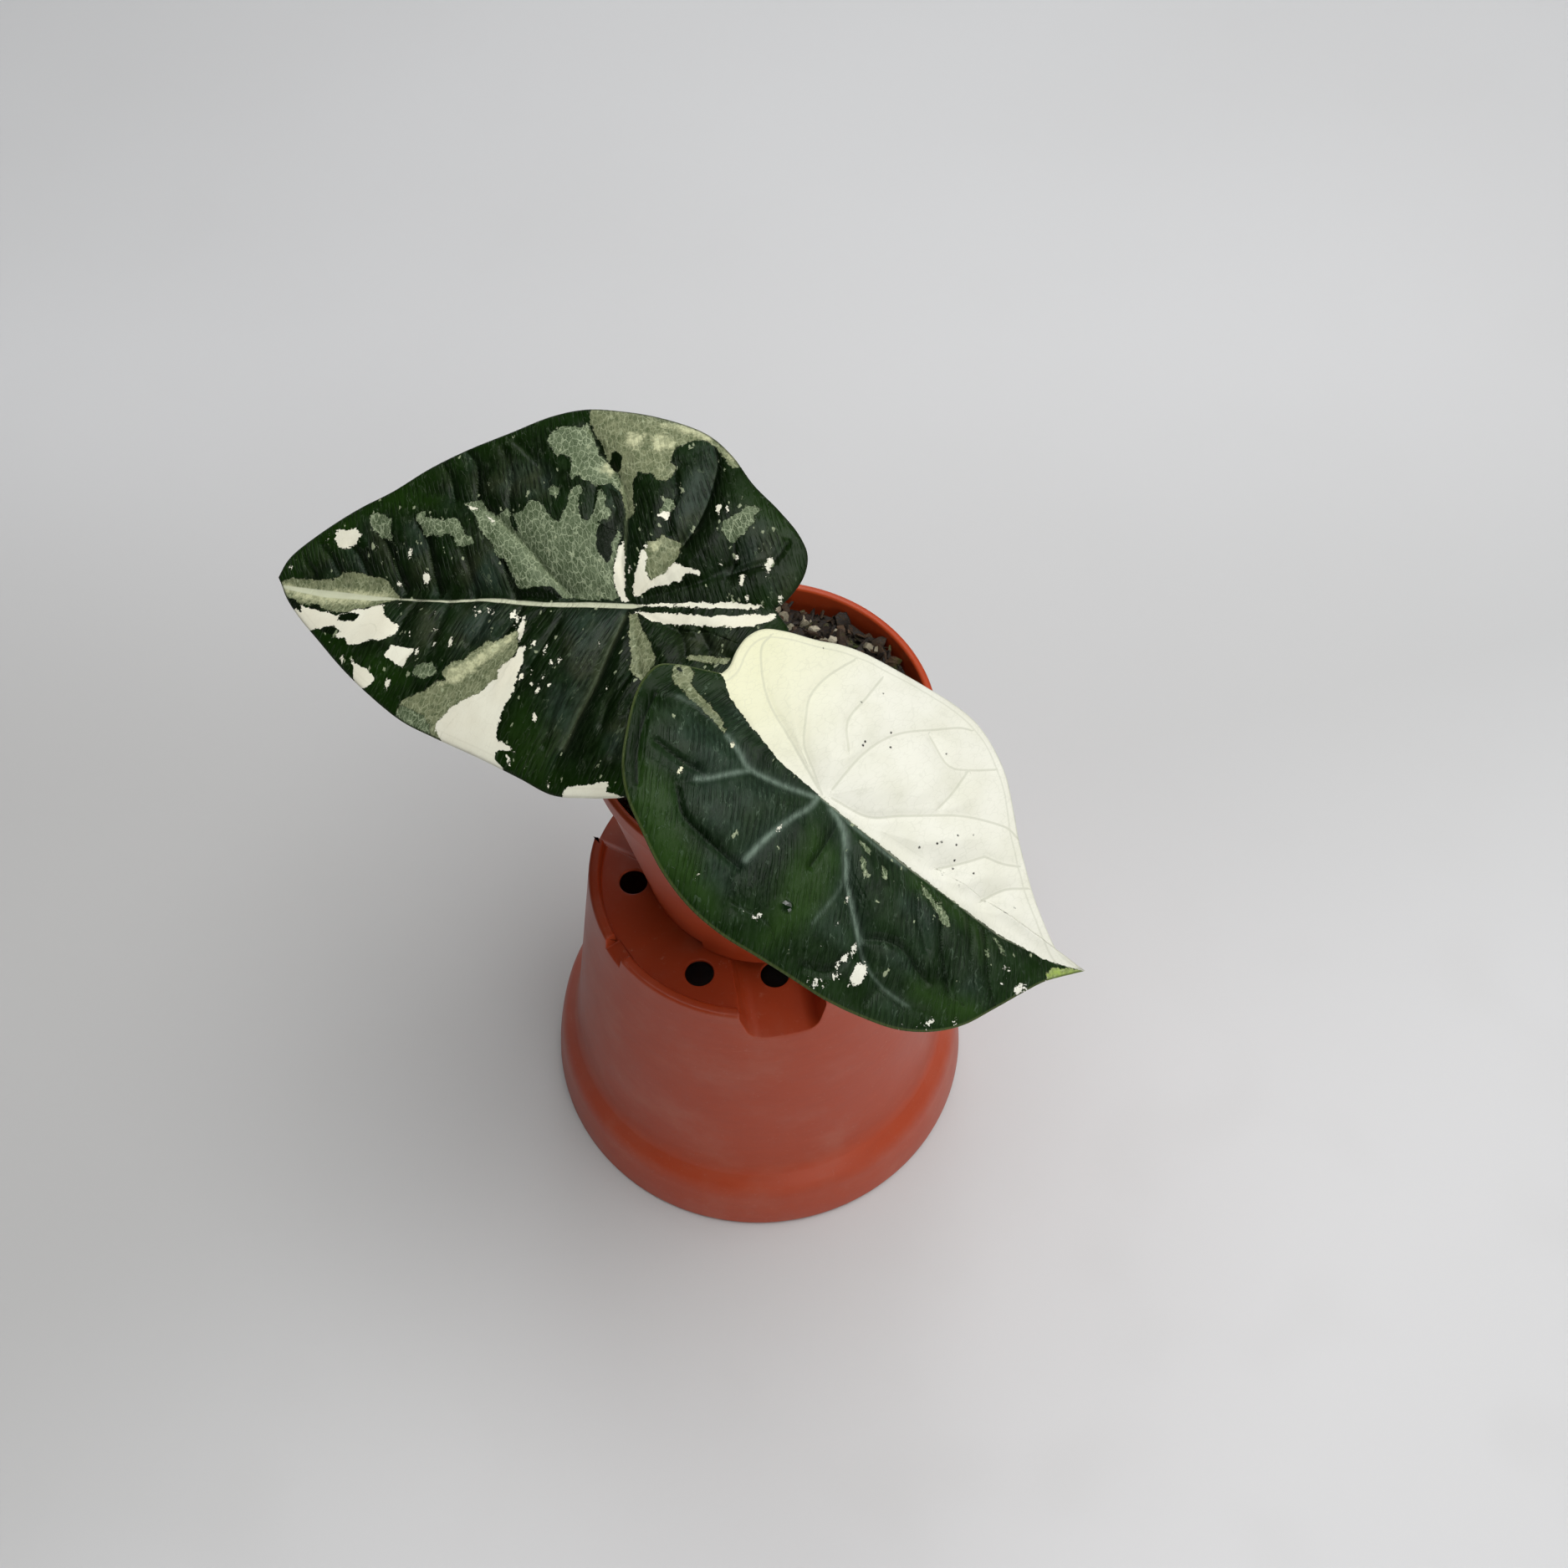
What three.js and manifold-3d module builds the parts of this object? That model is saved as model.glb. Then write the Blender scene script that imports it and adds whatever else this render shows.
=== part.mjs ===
// A young variegated alocasia in a terracotta-coloured nursery pot. The pot stands on a larger nursery pot
// of the same kind that is turned upside down. Millimetres, +Z up.
import * as THREE from 'three';
import * as BufferGeometryUtils from 'three/addons/utils/BufferGeometryUtils.js';
import Module from 'manifold-3d';

const wasm = await Module();
wasm.setup();

const GAP = 0.3;              // clearance between pieces that rest on or stand in each other
const ROUND_SEGMENTS = 48;
const DEGREE = Math.PI / 180;

// The upturned pot that serves as a stand, measured from the floor up
const STAND = {
  height: 100.4,
  rimRadius: 60,
  collarHeight: 20,
  collarRadius: 57,           // the collar's outer radius at its shoulder
  wallRadius: 53,             // the wall's outer radius at the shoulder
  footRadius: 42.6,
  lip: 2.1,
  wall: 1.4,
  footRing: 2.8,
  plateRecess: 3.8,           // from the foot ring's edge down to the base plate
  channelRecess: 9.4,         // from the foot ring's edge down to the floor of the drain channels
  channelLength: 31,          // from the foot's outer edge towards the middle
  notchAngles: [-81.8, 34, 150],
  notchWidth: 16.8,           // at the floor of the channel
  notchFlare: 3.2,            // how much wider the notch is at the foot ring's edge, on each side
  gapAngles: [-148.5, -28.5, 91.5],
  gapWidth: 6.4,
  holeRadius: 3.65,
  plateHoles: [[31.3, -179], [31.3, -118], [31.3, -44], [31.3, 2], [31.3, 76], [31.3, 116]],
  channelHoles: [[26.4, -80.5], [26.4, 34], [26.4, 150]],
  valley: [[54.0, 20.8], [53.1, 22.4], [52.5, 24.4], [52.09, 27.0]],  // the hollow curve from collar to wall
};

// The plant's own pot; its middle is off the stand's axis, as it was set down
const POT = {
  x: 3.2,
  y: 4.2,
  height: 65.3,
  rimRadius: 40.9,
  lipHeight: 6,
  lipStep: 0.8,
  wall: 1.3,
  lip: 1.9,
  footRadius: 30.2,
  footRing: 2.2,
  plateRecess: 5,
  notchAngles: [-139, -19, 101],
  notchWidth: 14.5,
  notchHeight: 4.6,
  holeRadius: 3,
  holeCircle: 19,
  holeCount: 6,
};

const MIX = { belowRim: 6.4, rise: 0.075, bump: 0.9, rings: 9, sectors: 44 };

const ROOTSTOCK = { x: -1.5, y: 1.5, radius: 7.6, depth: 24, aboveMix: 2.6 };

const STALK = { sides: 12, steps: 16, baseRadius: 3.4, waistRadius: 2.3, topRadius: 1.8 };

const BLADE = { thickness: 0.9, rimPoints: 84, rings: 10, ringSpread: 0.92 };

// Each blade's own plane: s runs from the stalk to the tip, t to the left of it, seen from above.
// Outlines run anticlockwise from the tip. Veins start near the hub or the midrib.
const LEFT_LEAF = {
  hub: [-23.4, 3.9, 208],
  heading: 164.5,
  droop: 9.9,
  bank: -21.7,
  arch: { tip: 84, lobe: 38, half: 43, tipDrop: 7, lobeDrop: 5, valley: 2.6, valleyWidth: 7, marginDrop: 6.5 },
  quilt: 1.0,
  quiltWidth: 4.5,
  sharp: [0, 22],             // outline points that stay corners: the tip and the notch behind the hub
  outline: [
    [89.1, -2.1], [86.3, 1.9], [81, 7], [73.9, 12.7], [66, 19], [58.6, 24.1], [49.4, 29.4], [40.8, 32.4],
    [30.4, 35.6], [20.2, 39.1], [12.3, 41.9], [4.7, 41.8], [-4.7, 40.6], [-13, 37], [-20, 31], [-27, 24],
    [-32.5, 17.5], [-35.4, 11.5], [-35.2, 6], [-33.6, 2], [-32.2, 0.2], [-31, -0.9], [-30, -2], [-31.6, -3.2],
    [-33.2, -5.1], [-35.3, -9.3], [-35.5, -13.9], [-33.1, -18.2], [-27.9, -23.3], [-21.6, -28.5],
    [-15.6, -35], [-9, -39.8], [2.5, -43.4], [12.6, -44.8], [20.7, -44.9], [28.2, -42.8], [37, -38.1],
    [46, -33.5], [54.1, -28.6], [62.2, -22.6], [69.9, -18.3], [79.6, -11.8], [86.6, -6.2],
  ],
  veins: [
    [[0, 0], [20, 1], [40, 1.5], [60, 1.9], [85, 0.7]],
    [[1.5, -1.5], [4, -16], [10, -30], [20, -41]],
    [[15, -0.5], [30, -13.5], [50, -22], [66, -22]],
    [[-1, -2], [-10, -16], [-13, -33]],
    [[-2, -1.5], [-18, -8], [-25, -14]],
    [[1, 3], [8, 26], [15, 38]],
    [[18, 1], [36, 20], [48, 30]],
    [[38, 1.5], [56, 21]],
    [[-1, 3], [-9, 18], [-14, 31]],
    [[-2, 2], [-18, 8], [-26, 12]],
  ],
};

const RIGHT_LEAF = {
  hub: [13.47, -53.94, 222],
  heading: -27.8,
  droop: 25.2,
  bank: 6.5,
  arch: { tip: 62, lobe: 38, half: 34, tipDrop: 5.5, lobeDrop: 3.5, valley: 2.4, valleyWidth: 6, marginDrop: 5.5 },
  quilt: 0.9,
  quiltWidth: 4,
  sharp: [0, 21],
  outline: [
    [64.5, 2.6], [60, 1.9], [57, 2.3], [50, 6], [45.8, 9], [38.8, 15.8], [35, 20.8], [30.4, 26.6],
    [25, 30.8], [20.4, 32.9], [15, 33.4], [8.8, 32.9], [1.2, 32], [-6.5, 30.8], [-11.2, 29.3],
    [-15.8, 27], [-21.9, 24.7], [-25.8, 22.4], [-27.7, 18.9], [-28.1, 15.1], [-27.7, 11.2], [-28.2, 9.3],
    [-31.2, 8.2], [-36.5, 6.2], [-39.2, 4.3], [-40, 0.5], [-39.5, -4.2], [-37.7, -10.3], [-35, -16.5],
    [-31.2, -21.1], [-25.8, -24.9], [-18.1, -29.5], [-10.4, -32.2], [-2.7, -33.2], [5, -33],
    [12.7, -32.8], [20.4, -32.6], [28.1, -31.5], [35.8, -29.5], [41.9, -26.1], [46.5, -21.8],
    [50.4, -15.7], [54.2, -9.5], [57.3, -4.9], [60.4, -1.5],
  ],
  veins: [
    [[0, -0.7], [20, -2.4], [45, -2.7], [60, 0.5]],
    [[0, -0.7], [-14, -4], [-24, 0.5], [-34, 4]],
    [[-14, -4], [-18, -7], [-30, -14]],
    [[0, -0.7], [-6.5, -17], [-5, -30]],
    [[3, -1.5], [14, -13], [23, -22], [42, -23]],
    [[20, -2], [35, -15]],
    [[-1, 0], [-12, 15], [-6, 29]],
    [[-2, 1], [-20, 12], [-22, 25]],
    [[1, 2], [7, 19], [20, 30]],
    [[3, 0], [24, 12], [37, 17]],
  ],
};

// Closed solids and the cuts made in them
function solidOf(geometry) {
  const bare = geometry.clone();
  bare.deleteAttribute('normal');
  bare.deleteAttribute('uv');
  const merged = BufferGeometryUtils.mergeVertices(bare, 1e-5);
  const mesh = new wasm.Mesh({
    numProp: 3,
    vertProperties: new Float32Array(merged.attributes.position.array),
    triVerts: new Uint32Array(merged.index.array),
  });
  return new wasm.Manifold(mesh);
}

function geometryOf(solid) {
  const mesh = solid.getMesh();
  const geometry = new THREE.BufferGeometry();
  geometry.setAttribute('position', new THREE.BufferAttribute(mesh.vertProperties, 3));
  geometry.setIndex(new THREE.BufferAttribute(mesh.triVerts, 1));
  geometry.computeVertexNormals();
  return geometry;
}

function cut(solid, tools) {
  return tools.reduce((left, tool) => left.subtract(solidOf(tool)), solid);
}

// A turned body about the Z axis, from [radius, height] points that run up the outside
function turned(profile, segments = ROUND_SEGMENTS) {
  const points = profile.map(([radius, height]) => new THREE.Vector2(radius, height));
  const geometry = new THREE.LatheGeometry(points, segments);
  geometry.rotateX(Math.PI / 2);
  return geometry;
}

function drill(radius, [distance, angle], low, high) {
  const geometry = new THREE.CylinderGeometry(radius, radius, high - low, 16);
  geometry.rotateX(Math.PI / 2);
  geometry.translate(distance * Math.cos(angle * DEGREE), distance * Math.sin(angle * DEGREE), (low + high) / 2);
  return geometry;
}

// A radial slot from innerRadius outwards, flared towards its top by flare on each side
function radialSlot(angle, innerRadius, outerRadius, width, flare, low, high) {
  const half = width / 2;
  const section = new THREE.Shape([
    new THREE.Vector2(-half, low),
    new THREE.Vector2(half, low),
    new THREE.Vector2(half + flare, high),
    new THREE.Vector2(-half - flare, high),
  ]);
  const geometry = new THREE.ExtrudeGeometry(section, { depth: outerRadius - innerRadius, bevelEnabled: false });
  geometry.translate(0, 0, innerRadius);
  geometry.rotateX(Math.PI / 2);
  geometry.rotateZ(Math.PI / 2 + angle * DEGREE);
  return geometry;
}

function mesh(name, geometry, color, roughness) {
  const material = new THREE.MeshStandardMaterial({ color, roughness, metalness: 0 });
  const piece = new THREE.Mesh(geometry, material);
  piece.name = name;
  return piece;
}

// The stand: rim collar on the floor, foot ring and drained base plate on top. Its wall and plate are thin
// all over, so the drain channels show as troughs inside.
function standPot() {
  const { height, rimRadius, collarHeight, collarRadius, wallRadius, footRadius, lip, wall, footRing } = STAND;
  const plateTop = height - STAND.plateRecess;
  const channelTop = height - STAND.channelRecess;
  const plateUnder = plateTop - wall;
  const taper = (wallRadius - footRadius) / (height - collarHeight);
  const outside = turned([
    [0, 0],
    [rimRadius - 0.3, 0],
    [rimRadius, 0.8],
    [collarRadius + 0.45, collarHeight - 3.1],
    [collarRadius + 0.1, collarHeight - 1.4],
    [collarRadius - 0.7, collarHeight - 0.4],
    [collarRadius - 1.9, collarHeight + 0.1],
    ...STAND.valley,
    [footRadius, height - 0.6],
    [footRadius - 0.6, height],
    [footRadius - footRing + 0.5, height],
    [footRadius - footRing, height - 0.5],
    [footRadius - footRing, plateTop],
    [0, plateTop],
  ]);
  const inside = turned([
    [0, -1],
    [rimRadius - lip, -1],
    [rimRadius - lip, 0],
    [collarRadius - wall, collarHeight - wall],
    [wallRadius - wall, collarHeight - wall],
    [wallRadius - (plateUnder - collarHeight) * taper - wall, plateUnder],
    [0, plateUnder],
  ]);
  const { notchWidth, notchFlare, channelLength, gapWidth } = STAND;
  const inner = footRadius - channelLength;
  const troughs = STAND.notchAngles.map((angle) => radialSlot(
    angle, inner - wall, rimRadius, notchWidth + 2 * wall, notchFlare, channelTop - wall, height));
  const channels = STAND.notchAngles.map((angle) => radialSlot(
    angle, inner, rimRadius, notchWidth, notchFlare, channelTop, height + 1));
  const gaps = STAND.gapAngles.map((angle) => radialSlot(
    angle, footRadius - footRing - 1, rimRadius, gapWidth, 0.6, plateTop, height + 1));
  const holes = [...STAND.plateHoles, ...STAND.channelHoles].map((place) => drill(
    STAND.holeRadius, place, channelTop - wall - 1, height));
  const hollow = cut(solidOf(inside), troughs);
  return geometryOf(cut(solidOf(outside).subtract(hollow), [...channels, ...gaps, ...holes]));
}

const potFloor = STAND.height - STAND.plateRecess + GAP;
const rimHeight = potFloor + POT.height;
const plateTop = potFloor + POT.plateRecess + POT.wall;
const wallTaper = (POT.rimRadius - POT.lipStep - POT.footRadius) / (POT.height - POT.lipHeight);
const potWallAt = (z) => POT.footRadius + (z - potFloor) * wallTaper;

// The growing pot, about its own axis
function growingPot() {
  const lipUnder = rimHeight - POT.lipHeight;
  const plateUnder = potFloor + POT.plateRecess;
  const profile = [
    [0, plateUnder],
    [POT.footRadius - POT.footRing, plateUnder],
    [POT.footRadius - POT.footRing, potFloor],
    [POT.footRadius - 0.3, potFloor],
    [potWallAt(lipUnder), lipUnder - 0.4],
    [POT.rimRadius - 0.25, lipUnder + 0.2],
    [POT.rimRadius, rimHeight - 0.5],
    [POT.rimRadius - 0.5, rimHeight],
    [POT.rimRadius - POT.lip + 0.5, rimHeight],
    [POT.rimRadius - POT.lip, rimHeight - 0.5],
    [potWallAt(lipUnder) - POT.wall, lipUnder - 2],
    [potWallAt(plateTop) - POT.wall, plateTop],
    [0, plateTop],
  ];
  const notches = POT.notchAngles.map((angle) => radialSlot(
    angle, POT.footRadius - POT.footRing - 1, POT.footRadius + 3,
    POT.notchWidth, -1, potFloor - 1, potFloor + POT.notchHeight));
  const holes = Array.from({ length: POT.holeCount }, (_, index) => drill(
    POT.holeRadius, [POT.holeCircle, index * 360 / POT.holeCount], potFloor - 1, rimHeight));
  return geometryOf(cut(solidOf(turned(profile)), [...notches, ...holes]));
}

// Loops of points, each the same length, joined into a closed skin; the first and last loops are capped
function loft(loops) {
  const sides = loops[0].length;
  const points = loops.flat();
  const index = [];
  for (let row = 0; row + 1 < loops.length; row += 1) {
    for (let side = 0; side < sides; side += 1) {
      const a = row * sides + side;
      const b = row * sides + (side + 1) % sides;
      index.push(a, b, b + sides, a, b + sides, a + sides);
    }
  }
  const last = (loops.length - 1) * sides;
  for (let side = 1; side + 1 < sides; side += 1) {
    index.push(0, side + 1, side);
    index.push(last, last + side, last + side + 1);
  }
  const geometry = new THREE.BufferGeometry();
  geometry.setFromPoints(points);
  geometry.setIndex(index);
  geometry.computeVertexNormals();
  return geometry;
}

// The mix: a plug that fills the pot, with a lumpy top that slopes up to the right
const mixTop = rimHeight - MIX.belowRim;

function lumps(x, y) {
  const slope = MIX.rise * x;
  const coarse = Math.sin(0.55 * x + 1.1) * Math.cos(0.47 * y - 0.6) + Math.sin(0.31 * (x + y) + 2.3);
  const fine = Math.sin(1.35 * x - 0.4) * Math.sin(1.21 * y + 0.9);
  return slope + MIX.bump * (0.5 * coarse + 0.6 * fine);
}

function pottingMix() {
  const bottom = plateTop + GAP;
  const insideAt = (z) => potWallAt(z) - POT.wall - GAP - 0.15;
  const topRadius = insideAt(mixTop - 4);
  const ring = (radius, height) => Array.from({ length: MIX.sectors }, (_, sector) => {
    const angle = sector / MIX.sectors * 2 * Math.PI;
    const x = radius * Math.cos(angle);
    const y = radius * Math.sin(angle);
    return new THREE.Vector3(x, y, height(x, y));
  });
  const loops = [ring(insideAt(bottom), () => bottom), ring(topRadius, () => mixTop - 5)];
  for (let step = MIX.rings; step >= 1; step -= 1) {
    loops.push(ring(topRadius * step / MIX.rings, (x, y) => mixTop + lumps(x, y)));
  }
  const socket = turned([
    [0, mixTop - ROOTSTOCK.depth - GAP],
    [ROOTSTOCK.radius + GAP, mixTop - ROOTSTOCK.depth - GAP],
    [ROOTSTOCK.radius + GAP, mixTop + 6],
    [0, mixTop + 6],
  ], 24);
  socket.translate(ROOTSTOCK.x, ROOTSTOCK.y, 0);
  return geometryOf(cut(solidOf(loft(loops)), [socket]));
}

// The short stem, ringed by the scars of old leaves
function rootstock() {
  const { radius, depth, aboveMix } = ROOTSTOCK;
  const bottom = mixTop - depth;
  const top = mixTop + aboveMix;
  const profile = [
    [0, bottom],
    [radius * 0.5, bottom + 0.8],
    [radius * 0.85, bottom + 4],
    [radius, bottom + 9],
    [radius * 0.9, bottom + 12],
    [radius, bottom + 15],
    [radius * 0.92, bottom + 18],
    [radius * 0.99, bottom + 21],
    [radius * 0.96, top - 1.2],
    [radius * 0.86, top],
    [0, top],
  ];
  return turned(profile, 20);
}

// A leaf stalk from the rootstock to its blade: round, widest at its sheath, with its end flat under the hub
function stalk(start, startPull, end, endPull, endNormal) {
  const curve = new THREE.CubicBezierCurve3(
    start, start.clone().add(startPull), end.clone().sub(endPull), end);
  const { sides, steps, baseRadius, waistRadius, topRadius } = STALK;
  const flatEnd = 0.12;       // the part of the stalk that turns from square-cut to the blade's slope
  const loops = [];
  const side = new THREE.Vector3(1, 0, 0);
  for (let step = 0; step <= steps; step += 1) {
    const along = step / steps;
    const centre = curve.getPoint(along);
    const axis = step === 0 ? new THREE.Vector3(0, 0, 1) : curve.getTangent(along);
    const turn = Math.max(0, (along - 1 + flatEnd) / flatEnd);
    axis.lerp(endNormal, turn).normalize();
    const across = side.clone().addScaledVector(axis, -side.dot(axis)).normalize();
    const other = new THREE.Vector3().crossVectors(axis, across);
    const sheath = Math.exp(-along * 5);
    const radius = waistRadius + (baseRadius - waistRadius) * sheath + (topRadius - waistRadius) * along;
    loops.push(Array.from({ length: sides }, (_, index) => {
      const angle = index / sides * 2 * Math.PI;
      return centre.clone()
        .addScaledVector(across, radius * Math.cos(angle))
        .addScaledVector(other, radius * Math.sin(angle));
    }));
  }
  return loft(loops);
}

// The leaf outline as evenly spaced points, rounded everywhere but at its sharp corners
function outlinePoints(leaf) {
  const corners = leaf.sharp.concat(leaf.outline.length);
  const arcs = [];
  for (let part = 0; part + 1 < corners.length; part += 1) {
    const points = [];
    for (let index = corners[part]; index <= corners[part + 1]; index += 1) {
      const [s, t] = leaf.outline[index % leaf.outline.length];
      points.push(new THREE.Vector3(s, t, 0));
    }
    arcs.push(new THREE.CatmullRomCurve3(points, false, 'centripetal'));
  }
  const total = arcs.reduce((sum, arc) => sum + arc.getLength(), 0);
  return arcs.flatMap((arc) => {
    const count = Math.round(BLADE.rimPoints * arc.getLength() / total);
    return arc.getSpacedPoints(count).slice(0, -1);
  });
}

function distanceToSegment(s, t, [s0, t0], [s1, t1]) {
  const ds = s1 - s0;
  const dt = t1 - t0;
  const along = THREE.MathUtils.clamp(((s - s0) * ds + (t - t0) * dt) / (ds * ds + dt * dt), 0, 1);
  return Math.hypot(s - s0 - along * ds, t - t0 - along * dt);
}

function distanceToVeins(s, t, veins) {
  let nearest = Infinity;
  for (const vein of veins) {
    for (let index = 0; index + 1 < vein.length; index += 1) {
      nearest = Math.min(nearest, distanceToSegment(s, t, vein[index], vein[index + 1]));
    }
  }
  return nearest;
}

// The height of a blade's upper face: arched along and across, a valley at the midrib, and quilted between
// its sunken veins; fade is 0 at the hub and the margin
function bladeHeight(leaf, s, t, fade) {
  const { tip, lobe, half, tipDrop, lobeDrop, valley, valleyWidth, marginDrop } = leaf.arch;
  const along = s > 0 ? -tipDrop * (s / tip) ** 2 : -lobeDrop * (s / lobe) ** 2;
  const across = valley * (1 - Math.exp(-Math.abs(t) / valleyWidth)) - marginDrop * (Math.abs(t) / half) ** 2.2;
  const bulge = 1 - Math.exp(-((distanceToVeins(s, t, leaf.veins) / leaf.quiltWidth) ** 2));
  return along + across + leaf.quilt * fade * bulge;
}

// A blade: spokes from the hub to the outline, crossed by rings, with the same triangles on both faces
function blade(leaf) {
  const rim = outlinePoints(leaf);
  const count = rim.length;
  const { rings, ringSpread, thickness } = BLADE;
  const upper = [new THREE.Vector3(0, 0, bladeHeight(leaf, 0, 0, 0))];
  for (let ring = 1; ring <= rings; ring += 1) {
    const part = (ring / rings) ** ringSpread;
    const fade = Math.sin(Math.PI * part) ** 0.5;
    for (const point of rim) {
      const s = point.x * part;
      const t = point.y * part;
      upper.push(new THREE.Vector3(s, t, bladeHeight(leaf, s, t, ring === rings ? 0 : fade)));
    }
  }
  const lower = upper.map((point) => point.clone().setZ(point.z - thickness));
  const under = upper.length;
  const index = [];
  const both = (a, b, c) => index.push(a, b, c, under + a, under + c, under + b);
  for (let spoke = 0; spoke < count; spoke += 1) {
    const next = (spoke + 1) % count;
    both(0, 1 + spoke, 1 + next);
    for (let ring = 0; ring + 1 < rings; ring += 1) {
      const a = 1 + ring * count + spoke;
      const b = 1 + ring * count + next;
      both(a, a + count, b + count);
      both(a, b + count, b);
    }
    const edge = 1 + (rings - 1) * count;
    index.push(edge + spoke, under + edge + spoke, under + edge + next);
    index.push(edge + spoke, under + edge + next, edge + next);
  }
  const geometry = new THREE.BufferGeometry();
  geometry.setFromPoints([...upper, ...lower]);
  geometry.setIndex(index);
  geometry.computeVertexNormals();
  return geometry;
}

function placeBlade(piece, leaf) {
  piece.position.set(...leaf.hub);
  piece.rotation.set(leaf.bank * DEGREE, leaf.droop * DEGREE, leaf.heading * DEGREE, 'ZYX');
  piece.updateMatrix();
}

// The stalk's end lies just under the blade's hub, square to the blade
function stalkFor(leaf, piece, baseOffset, startPull, endPull) {
  const normal = new THREE.Vector3(0, 0, 1).applyEuler(piece.rotation);
  const end = new THREE.Vector3(...leaf.hub).addScaledVector(normal, -BLADE.thickness - GAP);
  const start = new THREE.Vector3(
    POT.x + ROOTSTOCK.x + baseOffset[0],
    POT.y + ROOTSTOCK.y + baseOffset[1],
    mixTop + ROOTSTOCK.aboveMix + GAP);
  return stalk(start, new THREE.Vector3(...startPull), end, new THREE.Vector3(...endPull), normal);
}

const stand = mesh('stand_pot', standPot(), '#a8512f', 0.5);
const pot = mesh('growing_pot', growingPot(), '#a8512f', 0.45);
const mix = mesh('potting_mix', pottingMix(), '#2b231c', 0.95);
const stem = mesh('rootstock', rootstock(), '#6f6a45', 0.7);
for (const piece of [pot, mix, stem]) piece.position.set(POT.x, POT.y, 0);
stem.position.x += ROOTSTOCK.x;
stem.position.y += ROOTSTOCK.y;

const leafLeft = mesh('leaf_left', blade(LEFT_LEAF), '#24401f', 0.4);
const leafRight = mesh('leaf_right', blade(RIGHT_LEAF), '#8f9c72', 0.4);
placeBlade(leafLeft, LEFT_LEAF);
placeBlade(leafRight, RIGHT_LEAF);
const petioleLeft = mesh(
  'petiole_left', stalkFor(LEFT_LEAF, leafLeft, [-3.7, 0.4], [-1, 0, 22], [-14, 0, 20]), '#7d9a4e', 0.5);
const petioleRight = mesh(
  'petiole_right', stalkFor(RIGHT_LEAF, leafRight, [3.7, -0.6], [1, -3, 34], [4, -26, 20]), '#7d9a4e', 0.5);

// The whole plant stands on the floor with the middle of its footprint at the origin
const plant = new THREE.Group();
plant.add(stand, pot, mix, stem, petioleLeft, petioleRight, leafLeft, leafRight);
plant.updateMatrixWorld(true);
const extent = new THREE.Box3().setFromObject(plant, true);
plant.position.set(-(extent.min.x + extent.max.x) / 2, -(extent.min.y + extent.max.y) / 2, -extent.min.z);

export default plant;
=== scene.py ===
# %% [markdown]
# # A variegated alocasia in its nursery pot
# A young alocasia with one marbled leaf and one half-white leaf stands in a small nursery pot, and that
# pot stands on a larger one turned upside down. The solids of all pieces are already there as a frame, at
# their real size. This lesson gives each of them its fine shape and its finish.

# %% Load the frame
import math
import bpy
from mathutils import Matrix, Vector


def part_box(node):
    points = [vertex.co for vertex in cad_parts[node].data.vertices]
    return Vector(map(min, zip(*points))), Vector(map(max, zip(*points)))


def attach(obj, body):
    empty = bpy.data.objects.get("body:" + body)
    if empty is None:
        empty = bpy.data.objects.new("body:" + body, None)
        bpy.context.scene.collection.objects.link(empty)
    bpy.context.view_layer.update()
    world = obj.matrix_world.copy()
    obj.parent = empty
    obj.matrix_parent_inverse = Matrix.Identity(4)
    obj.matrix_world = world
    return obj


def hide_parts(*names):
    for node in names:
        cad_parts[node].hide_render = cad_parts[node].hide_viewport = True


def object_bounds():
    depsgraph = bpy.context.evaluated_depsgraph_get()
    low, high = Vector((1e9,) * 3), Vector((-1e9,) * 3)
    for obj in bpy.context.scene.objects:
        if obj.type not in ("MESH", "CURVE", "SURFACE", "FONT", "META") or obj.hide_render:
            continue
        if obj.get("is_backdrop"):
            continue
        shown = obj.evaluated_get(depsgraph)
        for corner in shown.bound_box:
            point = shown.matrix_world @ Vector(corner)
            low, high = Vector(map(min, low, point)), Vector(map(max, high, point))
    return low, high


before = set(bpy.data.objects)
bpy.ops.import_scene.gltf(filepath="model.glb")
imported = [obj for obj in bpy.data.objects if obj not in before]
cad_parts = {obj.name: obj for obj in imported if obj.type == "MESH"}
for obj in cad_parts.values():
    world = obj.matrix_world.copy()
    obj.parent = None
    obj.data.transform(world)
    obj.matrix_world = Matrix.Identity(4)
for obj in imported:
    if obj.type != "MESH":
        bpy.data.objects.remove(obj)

from types import SimpleNamespace

import bmesh
import bpy
import numpy as np
from mathutils import Euler, Vector, noise

CAD_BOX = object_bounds()
MM = 0.001               # the frame is in metres, and the sizes below are in millimetres
BODY = "root"
print("nodes:", ", ".join(sorted(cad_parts)))

# %% [markdown]
# ## Where things are
# Both pots are round, so everything is measured from the axis of the upturned pot, as the solids are. The
# axis is worked out from the box of its node, so nothing has to be fitted by eye.

# %% Measure the frame
stand_low, stand_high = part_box("stand_pot")
pot_low, pot_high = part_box("growing_pot")
AXIS = Vector(((stand_low.x + stand_high.x) / 2, (stand_low.y + stand_high.y) / 2, 0))
POT_AXIS = Vector(((pot_low.x + pot_high.x) / 2, (pot_low.y + pot_high.y) / 2, 0))
POT_FLOOR = pot_low.z / MM
POT_RIM = pot_high.z / MM
print("axis of the stand:", [round(c / MM, 2) for c in AXIS], "mm; rim of the pot at", round(POT_RIM, 1))

# %% [markdown]
# ## The camera
# The picture was taken from above and in front, from about 58 degrees, with a slight turn and roll. The
# lens follows from the size of the image in the camera: 2300 pixels of focal length on 1875 pixels of
# width. A camera made by hand is an object that is only turned and moved, so three angles say it all.

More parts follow.
